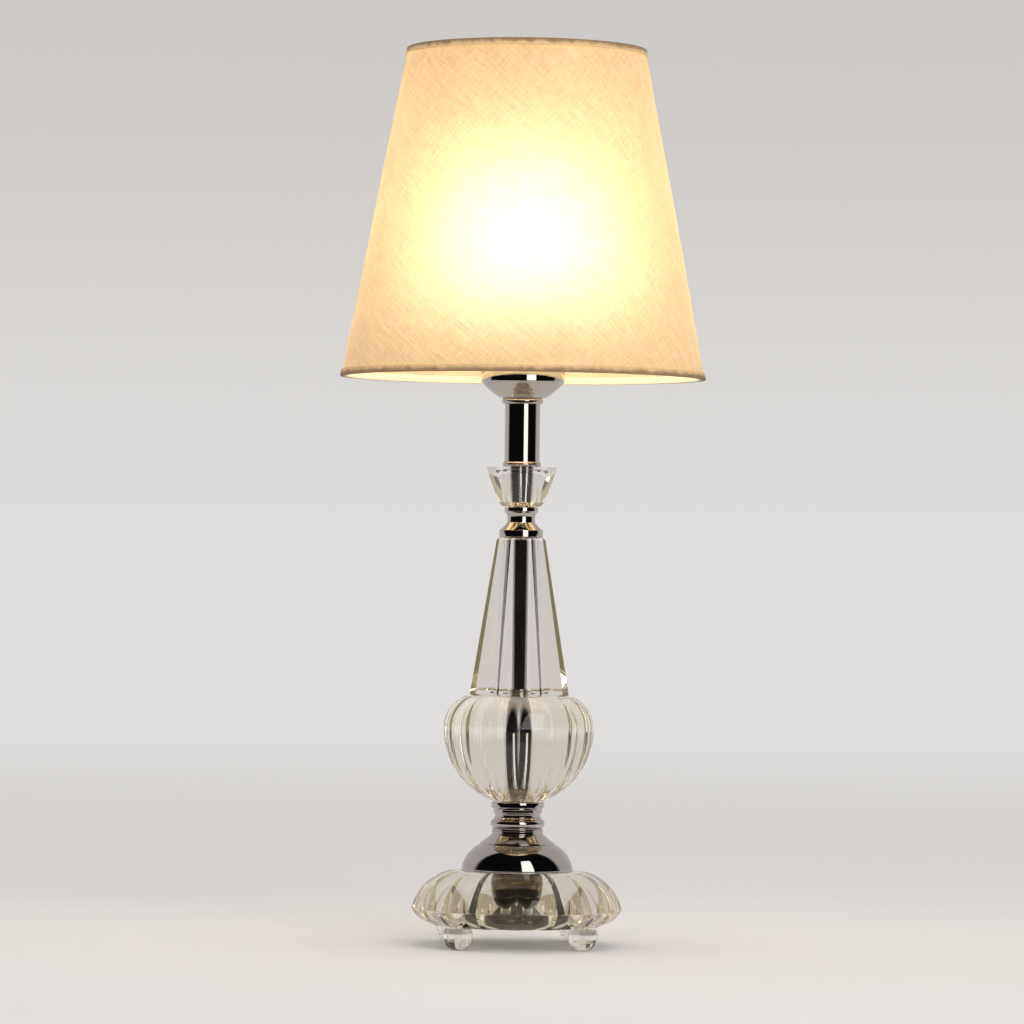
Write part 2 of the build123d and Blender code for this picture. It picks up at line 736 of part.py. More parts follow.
def bulb_filament():
    """Two leads out of the stem's top and the coiled wire between them, as one run."""
    z = stem_foot_z() + STEM_H + LEAD_D / 2
    half = FILAMENT_SPAN / 2
    root = STEM_D / 4
    leads = []
    for side in (-1, 1):
        path = Line((side * root, 0, z), (side * half, 0, z + FILAMENT_RISE))
        leads.append(sweep(Plane(path @ 0, z_dir=path % 0) * Circle(LEAD_D / 2), path))
    top = z + FILAMENT_RISE
    coil_path = ThreePointArc((-half, 0, top), (0, 0, top - FILAMENT_SAG), (half, 0, top))
    coil = sweep(Plane(coil_path @ 0, z_dir=coil_path % 0) * Circle(FILAMENT_D / 2), coil_path)
    knuckles = [Pos(side * half, 0, top) * Sphere(FILAMENT_D / 2 + GLUE) for side in (-1, 1)]
    return coil + leads + knuckles


# ---------------------------------------------------------------- shade
def shade_r(z):
    """Radius of the fabric's outer face at height z."""
    low = SHADE_BOTTOM_D / 2 - HEM_T - GLUE
    high = SHADE_TOP_D / 2 - HEM_T - GLUE
    return low + (high - low) * (z - Z_SHADE) / SHADE_H


def shade_layer(outset, inset):
    """Conical sheet between two offsets inside the fabric's outer face."""
    low = Z_SHADE + HEM_T + GLUE
    high = Z_SHADE_TOP - HEM_T - GLUE
    return turned(outline(
        (shade_r(low) - inset, low),
        (shade_r(low) - outset, low),
        (shade_r(high) - outset, high),
        (shade_r(high) - inset, high),
    ))


def shade_fabric():
    """Linen cover of the shade."""
    return shade_layer(0, FABRIC_T)


def shade_liner():
    """Stiff white sheet that the linen is glued to."""
    return shade_layer(FABRIC_T + GLUE, FABRIC_T + GLUE + LINER_T)


def wire_ring(z):
    """Place of a ring wire's centre: radius and height, just inside the liner at height z."""
    return shade_r(z) - FABRIC_T - LINER_T - 3 * GLUE - RING_WIRE_D / 2


def shade_hem(edge_z, way):
    """Folded tape over the shade's edge at edge_z; way is 1 for the lower edge, -1 for the upper."""
    inner = FABRIC_T + LINER_T + RING_WIRE_D + 5 * GLUE
    tip = edge_z + way * HEM_H
    web = edge_z + way * HEM_T
    return turned(outline(
        (shade_r(edge_z) + GLUE + HEM_T / 2, edge_z),
        (shade_r(web) + GLUE + HEM_T, web, way * 0.15),
        (shade_r(tip) + GLUE + HEM_T, tip),
        (shade_r(tip) + GLUE, tip),
        (shade_r(web) + GLUE, web),
        (shade_r(web) - inner, web),
        (shade_r(tip) - inner, tip),
        (shade_r(tip) - inner - HEM_T, tip),
        (shade_r(web) - inner - HEM_T, web),
        (shade_r(edge_z) - inner - HEM_T / 2, edge_z, way * 0.15),
    ))


def ring_wire(z):
    """Round wire hoop inside the edge of the shade."""
    return Pos(0, 0, z) * Torus(wire_ring(z), RING_WIRE_D / 2)


def lower_wire_z():
    return Z_SHADE + HEM_T + GLUE + RING_WIRE_D / 2


def spoke_bars(diameter):
    """Round bars from the plate's underside to the lower hoop, one of them straight back."""
    hoop_z = lower_wire_z()
    path = Polyline(
        (PLATE_D / 2 - 1, 0, Z_PLATE),
        (SPOKE_BEND_R, 0, Z_PLATE),
        (wire_ring(hoop_z), 0, hoop_z),
    )
    bend = FilletPolyline(*[v.center() for v in path.vertices()], radius=4 * SPOKE_D)
    bar = sweep(Plane(bend @ 0, z_dir=bend % 0) * Circle(diameter / 2), bend)
    return [Rot(0, 0, 90 + 360 / SPOKES * k) * bar for k in range(SPOKES)]


def shade_frame():
    """Welded frame: clamping plate, three spokes and the lower hoop."""
    plate = ring(PLATE_D / 2, THREAD_D / 2 + TURN, Z_PLATE, PLATE_T)
    return ring_wire(lower_wire_z()) + plate + spoke_bars(SPOKE_D)


def shade_bottom_hem():
    """Lower tape, notched where the spokes pass."""
    return shade_hem(Z_SHADE, 1) - spoke_bars(SPOKE_D + 4 * GLUE)


# ---------------------------------------------------------------- the lamp
pieces = {
    "crystal_disc": crystal_disc(),
    "base_bowl": base_bowl(),
    "base_dome": base_dome(),
    "cord_outlet": cord_outlet(),
    "base_collar": base_collar(),
    "base_washer": ring(BASE_WASHER_D / 2, ROD_HOLE_R, Z_BASE_WASHER, BASE_WASHER_T),
    "base_nut": hex_nut(Z_BOTTOM_NUT),
    "centre_rod": centre_rod(),
    "crystal_ball": crystal_ball(),
    "crystal_cone": crystal_cone(),
    "lower_sleeve": sleeve(Z_BALL - GASKET_T, Z_SPOOL),
    "neck_spool": neck_spool(),
    "crystal_cup": crystal_cup(),
    "upper_sleeve": sleeve(Z_CRYSTAL_CUP - GASKET_T, Z_TUBE_FOOT),
    "clear_gaskets": clear_gaskets(),
    "tube_foot": tube_end(TUBE_FOOT_D, Z_TUBE_FOOT, TUBE_FOOT_H) + spigot(Z_TUBE),
    "chrome_tube": ring(TUBE_D / 2, TUBE_D / 2 - TUBE_WALL, Z_TUBE, TUBE_H),
    "tube_head": tube_end(TUBE_HEAD_D, Z_TUBE_HEAD, TUBE_HEAD_H) + spigot(Z_TUBE_HEAD - SPIGOT_H),
    "drip_cup": drip_cup(),
    "top_nut": hex_nut(Z_TOP_NUT),
    "holder_cap": holder_cap(),
    "holder_body": holder_body(),
    "contact_carrier": contact_carrier(),
    "screw_shell": screw_shell(),
    "centre_contact": centre_contact(),
    "shade_ring_nut": shade_ring_nut(),
    "bulb_tip": bulb_tip(),
    "bulb_insulator": bulb_insulator(),
    "bulb_cap": bulb_cap(),
    "bulb_glass": bulb_glass(),
    "bulb_stem": bulb_stem(),
    "bulb_filament": bulb_filament(),
    "shade_fabric": shade_fabric(),
    "shade_liner": shade_liner(),
    "shade_top_hem": shade_hem(Z_SHADE_TOP, -1),
    "shade_bottom_hem": shade_bottom_hem(),
    "shade_top_hoop": ring_wire(Z_SHADE_TOP - HEM_T - GLUE - RING_WIRE_D / 2),
    "shade_frame": shade_frame(),
}
for number, name in enumerate(FEET):
    pieces[name] = foot(number)

for name, piece in pieces.items():
    export_step(piece, f"parts/{name}.step")
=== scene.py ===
import bpy
import numpy as np
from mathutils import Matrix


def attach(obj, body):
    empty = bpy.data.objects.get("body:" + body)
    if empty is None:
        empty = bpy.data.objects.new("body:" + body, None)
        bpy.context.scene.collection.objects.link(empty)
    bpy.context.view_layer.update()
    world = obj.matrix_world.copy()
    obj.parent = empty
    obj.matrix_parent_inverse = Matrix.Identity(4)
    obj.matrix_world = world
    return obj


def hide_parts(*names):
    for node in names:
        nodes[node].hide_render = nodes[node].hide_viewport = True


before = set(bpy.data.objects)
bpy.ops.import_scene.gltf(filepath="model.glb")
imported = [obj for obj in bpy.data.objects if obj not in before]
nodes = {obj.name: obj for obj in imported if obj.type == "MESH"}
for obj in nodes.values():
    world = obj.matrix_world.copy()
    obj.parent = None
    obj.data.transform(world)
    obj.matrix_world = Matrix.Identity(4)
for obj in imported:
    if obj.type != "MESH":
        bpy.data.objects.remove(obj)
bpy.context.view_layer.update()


# ------------------------------------------------------------------ camera
# The photographer's camera: 3.45 m in front of the lamp and 252 mm above the table, with a long lens, tilted up a
# little and not quite level, so that the lamp leans to the right by less than a degree.
def placed(name, data):
    """A new object in the scene, at the origin, that holds a camera, a mesh or a lamp."""
    made = bpy.data.objects.new(name, data)
    bpy.context.scene.collection.objects.link(made)
    return made


camera = placed("camera", bpy.data.cameras.new("camera"))
camera.data.lens = 182.0
camera.data.sensor_width = 36.0
camera.data.clip_end = 60.0
camera.location = (-0.0058, -3.450, 0.252)
camera.rotation_euler = (np.radians(90.61), np.radians(-0.7), 0.0)
bpy.context.scene.camera = camera
bpy.context.scene.view_settings.view_transform = "Standard"


# ------------------------------------------------------------------ threaded tube, bottom nut and washers
# Zinc-plated M10 tube that holds the whole column together, with a nut and washer under the disc and a nut in the
# drip cup. They are rolled and pressed steel. Clear soft washers sit at the crystals. Their own solids are shown.
def tree_of(name):
    """A new material's node tree without nodes, and the material."""
    material = bpy.data.materials.new(name)
    material.use_nodes = True
    material.node_tree.nodes.clear()
    return material.node_tree, material


def put(tree, kind, settings=None, **inputs):
    """Adds a node. settings are its properties; inputs are values or links for its sockets, by name or number."""
    made = tree.nodes.new(kind)
    for key, value in (settings or {}).items():
        setattr(made, key, value)
    for key, value in inputs.items():
        by_number = key[0] == "i" and key[1:].isdigit()
        socket = made.inputs[int(key[1:]) if by_number else key.replace("_", " ")]
        if isinstance(value, bpy.types.NodeSocket):
            tree.links.new(value, socket)
        else:
            socket.default_value = value
    return made


def calc(tree, first, operation, second):
    """The result of one arithmetic step between two sockets or numbers."""
    return put(tree, "ShaderNodeMath", {"operation": operation}, i0=first, i1=second).outputs[0]


def stepped(tree, value, low, high, to_low=0.0, to_high=1.0):
    """Smooth step of a socket's value from low to high, going from to_low to to_high."""
    settings = {"interpolation_type": "SMOOTHSTEP"}
    made = put(tree, "ShaderNodeMapRange", settings, i0=value, i1=low, i2=high, i3=to_low, i4=to_high)
    return made.outputs[0]


def spread(tree, cloud, low, high):
    """Spreads the middle of a noise, where nearly all of it lies, over low to high."""
    return stepped(tree, cloud, 0.3, 0.7, low, high)


def object_space(tree):
    """The piece's own coordinates, in metres."""
    return put(tree, "ShaderNodeTexCoord").outputs["Object"]


def noise(tree, place, grain, detail, roughness=0.5, flat=False):
    """Noise in space, or in the plane if flat, with this many grains per metre."""
    settings = {"noise_dimensions": "2D" if flat else "3D"}
    made = put(tree, "ShaderNodeTexNoise", settings, Vector=place, Scale=grain, Detail=detail, Roughness=roughness)
    return made.outputs["Fac"]


def relief(tree, height, strength, distance):
    """Normal of a finely uneven skin."""
    return put(tree, "ShaderNodeBump", Strength=strength, Distance=distance, Height=height).outputs[0]


def skinned(tree, colour, **inputs):
    """Ends a material with the usual shader in one colour, or in the colour that a link brings, and returns the
    end node."""
    base = colour if isinstance(colour, bpy.types.NodeSocket) else (*colour, 1.0)
    skin = put(tree, "ShaderNodeBsdfPrincipled", Base_Color=base, **inputs)
    return put(tree, "ShaderNodeOutputMaterial", Surface=skin.outputs[0])


def worn_metal(name, colour, roughness, wander, grain, strength):
    """Bare or plated metal. Its roughness wanders about with the given grain, and a relief fourteen times finer has
    the given strength."""
    tree, material = tree_of(name)
    place = object_space(tree)
    cloud = noise(tree, place, grain, 4.0, 0.6)
    rough = spread(tree, cloud, max(roughness - wander, 0.0), roughness + wander)
    skinned(tree, colour, Metallic=1.0, Roughness=rough,
            Normal=relief(tree, noise(tree, place, grain * 14, 2.0), strength, 0.0002))
    return material


def plain_finish(name, colour, grain, detail, smoothest, roughest, strength=0.0, **inputs):
    """Moulding, coat, glaze or glass of one colour. Its roughness goes from smoothest to roughest with the grain,
    which is also its relief if it has a strength."""
    tree, material = tree_of(name)
    grains = noise(tree, object_space(tree), grain, detail)
    if strength:
        inputs["Normal"] = relief(tree, grains, strength, 0.0001)
    skinned(tree, colour, Roughness=spread(tree, grains, smoothest, roughest), **inputs)
    return material


def dress(material, *parts):
    """Gives a material to solids that are shown as they are."""
    for part in parts:
        nodes[part].data.materials.clear()
        nodes[part].data.materials.append(material)


zinc = worn_metal("zinc_plate", (0.62, 0.63, 0.62), 0.32, 0.10, 160.0, 0.25)
dress(zinc, "base_washer", "base_nut", "centre_rod", "top_nut", "bulb_tip")
clear_sheet = plain_finish("clear_washer_sheet", (0.93, 0.94, 0.93), 700.0, 2.0, 0.12, 0.30, IOR=1.45,
                           Transmission_Weight=1.0)
dress(clear_sheet, "clear_gaskets")


# ------------------------------------------------------------------ crystal feet
# Four beads of cut crystal, 20 mm across, with rows of small flat facets, ground flat above for the glue under the
# disc and below to stand on. Polished lead-free crystal, very slightly warm in the thick.
def fixed(name, mesh, body, replaced):
    """Places a finished mesh as a piece of a body, instead of the solids that it replaces."""
    piece = placed(name, mesh)
    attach(piece, body)
    if replaced:
        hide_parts(*replaced)
    return piece


def surface(name, points, body, replaced, material, closed=True, sharp_rows=(), sharp_columns=()):
    """Mesh over a grid of points (rows, columns, 3). Columns run once round; rows close on themselves if closed,
    and otherwise a first or last row without width becomes one point. Edges along the sharp rows and columns are
    creases. Faces are turned so that the enclosed volume is positive."""
    rows, columns = points.shape[:2]
    number = np.arange(rows * columns).reshape(rows, columns)
    width = np.linalg.norm(points - points[:, :1], axis=2).max(1)
    tips = [] if closed else [row for row in (0, rows - 1) if width[row] < 1e-7]
    for row in tips:
        number[row] = number[row, 0]
    low = number if closed else number[:-1]
    high = np.roll(number, -1, 0) if closed else number[1:]
    quads = np.stack([low, np.roll(low, -1, 1), np.roll(high, -1, 1), high], 2)
    flat = points.reshape(-1, 3)
    a, b, c, d = (flat[quads[..., k]] for k in range(4))
    volume = (np.cross(a, b) * c).sum() + (np.cross(a, c) * d).sum()
    if volume < 0:
        quads = quads[..., ::-1]
    whole = np.ones(len(quads), bool)
    faces = []
    for row in tips:
        band = 0 if row == 0 else len(quads) - 1
        whole[band] = False
        same = quads[band] == np.roll(quads[band], -1, 1)
        faces += quads[band][~same].reshape(-1, 3).tolist()
    faces += quads[whole].reshape(-1, 4).tolist()
    used = np.unique(number)
    renumber = np.zeros(rows * columns, int)
    renumber[used] = np.arange(len(used))
    mesh = bpy.data.meshes.new(name)
    mesh.from_pydata(flat[used].tolist(), [], [[int(renumber[v]) for v in face] for face in faces])
    mesh.shade_smooth()
    ends = np.empty(len(mesh.edges) * 2, np.int32)
    mesh.edges.foreach_get("vertices", ends)
    ends = used[ends.reshape(-1, 2)]
    row, column = ends // columns, ends % columns
    creased = (row[:, 0] == row[:, 1]) & np.isin(row[:, 0], sharp_rows)
    creased |= (column[:, 0] == column[:, 1]) & np.isin(column[:, 0], sharp_columns)
    mesh.edges.foreach_set("use_edge_sharp", creased)
    mesh.materials.append(material)
    mesh.update()
    return fixed(name, mesh, body, replaced)


def around(angle):
    """Unit vectors (x, y) at these angles."""
    return np.stack([np.cos(angle), np.sin(angle)], -1)


def eased(line, ease, closed=True):
    """Rounds the corners of a profile. Where it turns by more than 14 degrees it is cut back by ease, at most 0.4
    of the run next to it, and joined by the curve (1-t)^2 P + 2 t (1-t) Q + t^2 R with the corner as Q. The second
    result numbers the points where such a curve begins or ends, which get a crease so that flat runs stay flat."""
    line = np.asarray(line, float)
    keep = np.linalg.norm(line - np.roll(line, 1, 0), axis=1) > 1e-6
    line = line[keep]
    back, ahead = line - np.roll(line, 1, 0), np.roll(line, -1, 0) - line
    long_back, long_ahead = np.linalg.norm(back, axis=1), np.linalg.norm(ahead, axis=1)
    cosine = (back * ahead).sum(1) / (long_back * long_ahead)
    corner = cosine < np.cos(np.radians(14))
    if not closed:
        corner[[0, -1]] = False
    cut = np.minimum(ease, 0.4 * np.minimum(long_back, long_ahead))[:, None]
    start, end = line - back / long_back[:, None] * cut, line + ahead / long_ahead[:, None] * cut
    t = np.linspace(0, 1, 5)[:, None]
    made, creases, count = [], [], 0
    for k, point in enumerate(line):
        run = point[None]
        if corner[k]:
            run = (1 - t) ** 2 * start[k] + 2 * t * (1 - t) * point + t**2 * end[k]
            creases += [count, count + len(run) - 1]
        made.append(run)
        count += len(run)
    return np.concatenate(made), creases


def cut_section(sides, ridge_in_front):
    """Cross-section of a piece with flat facets and slightly rounded ridges, as two fields: a point of it is
    half A + ridge B for a half width across flats and a ridge radius. E is the unit vector towards each point.
    Also numbers the columns where a flat meets a ridge."""
    on_each_ridge, on_each_flat = 4, 7
    step = 2 * np.pi / sides
    ridges = -np.pi / 2 + step * (np.arange(sides) + (0.0 if ridge_in_front else 0.5))
    turn = ridges[:, None] + np.linspace(-step / 2, step / 2, on_each_ridge)
    ridge = np.repeat((around(ridges) / np.cos(step / 2))[:, None], on_each_ridge, 1)
    rounding = around(turn) - ridge
    t = (np.arange(1, on_each_flat + 1) / (on_each_flat + 1))[None, :, None]
    flat = ridge[:, -1:] * (1 - t) + np.roll(ridge, -1, 0)[:, :1] * t
    flat_rounding = rounding[:, -1:] * (1 - t) + np.roll(rounding, -1, 0)[:, :1] * t
    a = np.concatenate([ridge, flat], 1).reshape(-1, 2)
    b = np.concatenate([rounding, flat_rounding], 1).reshape(-1, 2)
    e = a + 0.01 * b
    first = np.arange(sides)[:, None] * (on_each_ridge + on_each_flat)
    return a, b, e / np.linalg.norm(e, axis=1)[:, None], (first + [0, on_each_ridge - 1]).ravel()


def at_heights(level, z):
    """Points in metres, from rows of points (x, y) in millimetres and each row's height."""
    return np.concatenate([level, np.broadcast_to(z[:, None, None], (*level.shape[:2], 1))], 2) / 1000


def polished(name, inner_glow_painted):
    """Clear crystal with a faint wave in its polish, and a painted glow: it emits the given colour where a ray has
    been mirrored three or more times inside, standing in for the bulb's light that runs down the column."""
    tree, material = tree_of(name)
    wave = noise(tree, object_space(tree), 45.0, 2.0)
    times_mirrored = put(tree, "ShaderNodeLightPath").outputs["Glossy Depth"]
    end = skinned(tree, (0.995, 0.978, 0.958), Roughness=0.0, IOR=1.52, Transmission_Weight=1.0,
                  Normal=relief(tree, wave, 0.06, 0.0012), Emission_Color=(*inner_glow_painted, 1.0),
                  Emission_Strength=stepped(tree, times_mirrored, 2.4, 2.9))
    depth = put(tree, "ShaderNodeVolumeAbsorption", Color=(0.94, 0.90, 0.80, 1.0), Density=7.0)
    tree.links.new(depth.outputs[0], end.inputs["Volume"])
    return material


# Both crystals carry a painted glow; the second's is paler and brighter, for the feet, disc and cup.
column_crystal = polished("crystal_painted_glow", (0.078, 0.068, 0.044))
brighter_glow_crystal = polished("crystal_brighter_painted_glow", (0.155, 0.140, 0.108))
FOOT_R = 10.0
FOOT_PAD_R = 3.0
FOOT_H = 14.0
FOOT_FACETS = 12
FOOT_RIDGE_R = 0.12
FEET_CIRCLE_R = 58.3
FIRST_FOOT_BEARING = -41.5
foot_centre = np.sqrt(FOOT_R**2 - FOOT_PAD_R**2)
foot_rows = np.linspace(np.arcsin(-foot_centre / FOOT_R), np.arcsin((FOOT_H - foot_centre) / FOOT_R), 6)
foot_side = np.stack([FOOT_R * np.cos(foot_rows), foot_centre + FOOT_R * np.sin(foot_rows)], 1)
foot_line = np.concatenate([[(0.0, 0.0)], foot_side, [(0.0, FOOT_H)]])
foot_profile, foot_creases = eased(foot_line, FOOT_RIDGE_R, False)
foot_a, foot_b, _, foot_ridges = cut_section(FOOT_FACETS, True)
foot_half = foot_profile[:, :1, None]
foot_level = foot_half * foot_a + np.minimum(foot_half, FOOT_RIDGE_R) * foot_b
for number, name in enumerate(("front_right", "rear_right", "rear_left", "front_left")):
    bearing = np.radians(FIRST_FOOT_BEARING + 90 * number)
    turn = bearing + np.pi / 2
    spin = np.array([[np.cos(turn), np.sin(turn)], [-np.sin(turn), np.cos(turn)]])
    points = at_heights(foot_level @ spin + FEET_CIRCLE_R * around(bearing), foot_profile[:, 1])
    surface("bead_" + name, points, "lamp_body", ["foot_" + name], brighter_glow_crystal, False, foot_creases,
            foot_ridges)


# ------------------------------------------------------------------ fluted crystal disc
# Pressed and ground crystal disc, 140 mm across, with sixteen flutes over its crown and a flat seat below. A well
# is ground into its top for the chrome bowl, and a hole through the middle takes the threaded tube.
def arc(start, end, bulge, steps=24):
    """Points of the circular arc from start to end whose middle stands off the chord by bulge, to the right of the
    way it goes: half the turn is 2 atan(2 bulge / chord), and the radius is half the chord over its sine."""
    start, end = np.array(start, float), np.array(end, float)
    chord = np.hypot(*(end - start))
    along = (end - start) / chord
    right = np.array([along[1], -along[0]])
    half = 2 * np.arctan2(2 * bulge, chord)
    radius = chord / 2 / np.sin(half)
    middle = (start + end) / 2 + right * (bulge - radius)
    t = np.linspace(-half, half, steps + 1)[:, None]
    return middle + radius * (np.cos(t) * right + np.sin(t) * along)


def raised(z, *runs):
    """Profile of (radius, height) joined from runs whose heights are counted from z."""
    return np.concatenate([np.asarray(run, float) for run in runs]) + (0.0, z)


def cut_crystal(name, facets, inside, sides, ridge_in_front, ease, replaced, finish, flutes=0.0):
    """Cut crystal on the axis. facets is the outer profile of (half width across flats, z) and inside the round
    profile that leads back to its start, in millimetres; every row is the section scaled to its half width. flutes
    hollows each flat in its middle by that share of the row's half width, and less towards the ridges."""
    a, b, e, ridge_columns = cut_section(sides, ridge_in_front)
    profile, creases = eased(np.concatenate([facets, inside]), ease)
    outer = np.array([np.linalg.norm(facets - p, axis=1).min() < 2 * ease + 0.001 for p in profile])
    half_ridge = 1 / np.cos(np.pi / sides)
    dip = flutes * (half_ridge - np.linalg.norm(a, axis=1)) / (half_ridge - 1)
    half = profile[:, :1, None]
    cut = half * (a * (1 - dip[:, None])) + ease * b
    points = at_heights(np.where(outer[:, None, None], cut, half * e), profile[:, 1])
    surface(name, points, "lamp_body", replaced, finish, True, creases, ridge_columns)


QUARTER_BULGE = 1 - np.sqrt(0.5)
FLUTES = 16
Z_DISC = FOOT_H
DISC_SEAT_R = 57.0
DISC_RIM_R = 70.0
DISC_TOP_R = 44.0
DISC_RIM_H = 10.5
DISC_H = 36.2
KEEL_BULGE = 1.9
CROWN_BULGE = 5.3
DOME_SEAT_H = 32.5
DOME_SEAT_R = 37.7
WELL_R = 21.3
WELL_ROUND = 15.3
WELL_FLOOR_H = 5.0
ROD_HOLE_R = 5.3
WASHER_SEAT_R = 15.5
WASHER_SEAT_H = 2.2
flat_share = np.cos(np.pi / FLUTES)
seat, rim = (DISC_SEAT_R * flat_share, 0.0), (DISC_RIM_R * flat_share, DISC_RIM_H)
crown = (DISC_TOP_R * flat_share, DISC_H)
disc_line = raised(Z_DISC, arc(seat, rim, KEEL_BULGE, 16), arc(rim, crown, CROWN_BULGE, 40)[1:])
well = raised(
    Z_DISC,
    [(DOME_SEAT_R, DISC_H), (DOME_SEAT_R, DOME_SEAT_H), (WELL_R, DOME_SEAT_H)],
    arc((WELL_R, WELL_FLOOR_H + WELL_ROUND), (WELL_R - WELL_ROUND, WELL_FLOOR_H), WELL_ROUND * QUARTER_BULGE, 16),
    [(ROD_HOLE_R, WELL_FLOOR_H), (ROD_HOLE_R, WASHER_SEAT_H), (WASHER_SEAT_R, WASHER_SEAT_H), (WASHER_SEAT_R, 0.0)],
)
cut_crystal("fluted_disc", disc_line, well, FLUTES, True, 0.35, ["crystal_disc"], brighter_glow_crystal, flutes=0.026)


# ------------------------------------------------------------------ chrome bowl in the disc
# Spun sheet bowl that hangs in the disc's well by its flange, under the dome. Its plate is painted dark, as painted
# shade for the dark bowl seen through the crystal.
def swept(radius, u, z):
    """Points (r cos u, r sin u, z) in metres, from millimetres."""
    return np.stack(np.broadcast_arrays(radius * np.cos(u), radius * np.sin(u), z), 2) / 1000


def turned(name, line, ease, body, replaced, material, columns=160, closed=True, waves=None):
    """Piece turned about the lamp's axis from a profile of (radius, z) in millimetres. waves, if given, is a
    function of the turn u and of the profile's radii and heights that is added to the radius."""
    profile, creases = eased(line, ease, closed)
    u = np.linspace(0, 2 * np.pi, columns, endpoint=False)[None]
    radius, z = profile[:, :1], profile[:, 1:]
    wavy = radius + waves(u, radius, z) if waves else radius
    surface(name, swept(wavy, u, z), body, replaced, material, closed, creases)


chrome = worn_metal("bright_chrome", (0.50, 0.465, 0.435), 0.025, 0.015, 60.0, 0.02)
# Painted shade: the bowl's plate is made dark so that it shows dark through the crystal.
bowl_painted_dark = worn_metal("bowl_plate_painted_shade", (0.11, 0.095, 0.075), 0.05, 0.03, 60.0, 0.03)
Z_DOME = Z_DISC + DOME_SEAT_H
BOWL_R = 21.0
BOWL_ROUND = 15.0
BOWL_WALL = 1.0
BOWL_FLANGE_R = 31.0
BOWL_DEPTH = 27.2
bowl_inside_r, bowl_inside_round = BOWL_R - BOWL_WALL, BOWL_ROUND - BOWL_WALL
bowl_line = raised(
    Z_DOME,
    [(ROD_HOLE_R, -BOWL_DEPTH)],
    arc((BOWL_R - BOWL_ROUND, -BOWL_DEPTH), (BOWL_R, BOWL_ROUND - BOWL_DEPTH), BOWL_ROUND * QUARTER_BULGE, 20),
    [(BOWL_R, 0.0), (BOWL_FLANGE_R, 0.0), (BOWL_FLANGE_R, BOWL_WALL), (bowl_inside_r, BOWL_WALL)],
    arc((bowl_inside_r, BOWL_ROUND - BOWL_DEPTH), (BOWL_R - BOWL_ROUND, BOWL_WALL - BOWL_DEPTH),
        -bowl_inside_round * QUARTER_BULGE, 20),
    [(ROD_HOLE_R, BOWL_WALL - BOWL_DEPTH)],
)
turned("sunk_bowl", bowl_line, 0.2, "lamp_body", ["base_bowl"], bowl_painted_dark)

# ------------------------------------------------------------------ chrome dome
# Spun and chrome-plated dome, 75 mm across, with a rolled foot on the crystal and a small cove under its neck. A
# hole behind takes the cord outlet, whose lip covers the hole's edge.
DOME_H = 30.0
DOME_WALL = 1.2
DOME_FOOT_R = 36.9
DOME_WAIST_R = 37.4
DOME_WAIST_H = 5.0
DOME_LEDGE_R = 25.2
DOME_LEDGE_H = 21.3
DOME_LEDGE_STEP = 1.0
DOME_LEDGE_W = 0.6
DOME_NECK_R = 17.1
DOME_NECK_H = 1.9


def dome_side(grow):
    """The dome's side from its foot to its top at the tube's hole, larger all round by grow."""
    waist, ledge = (DOME_WAIST_R + grow, DOME_WAIST_H), (DOME_LEDGE_R + grow, DOME_LEDGE_H + grow)
    step_h, neck_r, top_h = ledge[1] + DOME_LEDGE_STEP, DOME_NECK_R + grow, DOME_H + grow
    return raised(
        Z_DOME,
        arc((DOME_FOOT_R + grow, 0.0), waist, 0.1, 6),
        arc(waist, ledge, 2.3, 32)[1:],
        [(ledge[0], step_h)],
        arc((ledge[0] - DOME_LEDGE_W, step_h), (neck_r, top_h - DOME_NECK_H), -0.2, 10),
        [(neck_r, top_h), (ROD_HOLE_R, top_h)],
    )


dome_line = np.concatenate([dome_side(0.0), dome_side(-DOME_WALL)[::-1]])
turned("spun_dome", dome_line, 0.25, "lamp_body", ["base_dome"], chrome, 192)

# ------------------------------------------------------------------ cord outlet
# Black moulded rubber bushing pressed into the dome's back, where the flex would leave. Its own solid is shown.
black_rubber = plain_finish("moulded_rubber", (0.022, 0.022, 0.023), 1800.0, 3.0, 0.5, 0.68, 0.25)
dress(black_rubber, "cord_outlet")

# ------------------------------------------------------------------ beaded collar
# Turned brass collar, chrome plated, between the dome's neck and the ball: a step, a bead, a waist, a ring and a
# lip, which carries the ball.
Z_COLLAR = Z_DOME + DOME_H
COLLAR_H = 19.5
BEAD_EDGE_R = 16.4
COLLAR_WAIST_R = 15.3
COLLAR_RING_R = 16.3
COLLAR_LIP_R = 17.8
COLLAR_LIP_ROUND = 0.9
collar_line = raised(
    Z_COLLAR,
    [(ROD_HOLE_R, 0.0), (DOME_NECK_R, 0.0), (DOME_NECK_R, 1.2)],
    arc((BEAD_EDGE_R, 1.9), (BEAD_EDGE_R, 7.7), 1.8, 20),
    [(COLLAR_WAIST_R, 9.2), (COLLAR_WAIST_R, 10.9), (COLLAR_RING_R, 12.4), (COLLAR_RING_R, 14.2)],
    [(COLLAR_LIP_R, 15.7)],
    arc((COLLAR_LIP_R, COLLAR_H - COLLAR_LIP_ROUND), (COLLAR_LIP_R - COLLAR_LIP_ROUND, COLLAR_H), 0.27, 6),
    [(ROD_HOLE_R, COLLAR_H)],
)
turned("beaded_collar", collar_line, 0.15, "lamp_body", ["base_collar"], chrome)

# ------------------------------------------------------------------ melon-cut ball
# Cut crystal ball with sixteen upright facets, widest a little above its middle, standing on the collar. A bore
# down its axis takes the chrome sleeve that hides the threaded tube.
GLASS_BORE_R = 8.0
GASKET_T = 0.5
Z_BALL = Z_COLLAR + COLLAR_H + GASKET_T
BALL_FACETS = 16
BALL_FOOT_R = 18.0
BALL_R = 49.9
BALL_TOP_R = 35.5
BALL_WAIST_H = 48.5
BALL_H = 69.5
BELLY_BULGE = 8.7
SHOULDER_BULGE = 3.9


def sleeve_bore(z, height):
    """Straight bore for the sleeve through a crystal that stands at z, from its top down."""
    return [(GLASS_BORE_R, z + height), (GLASS_BORE_R, z)]


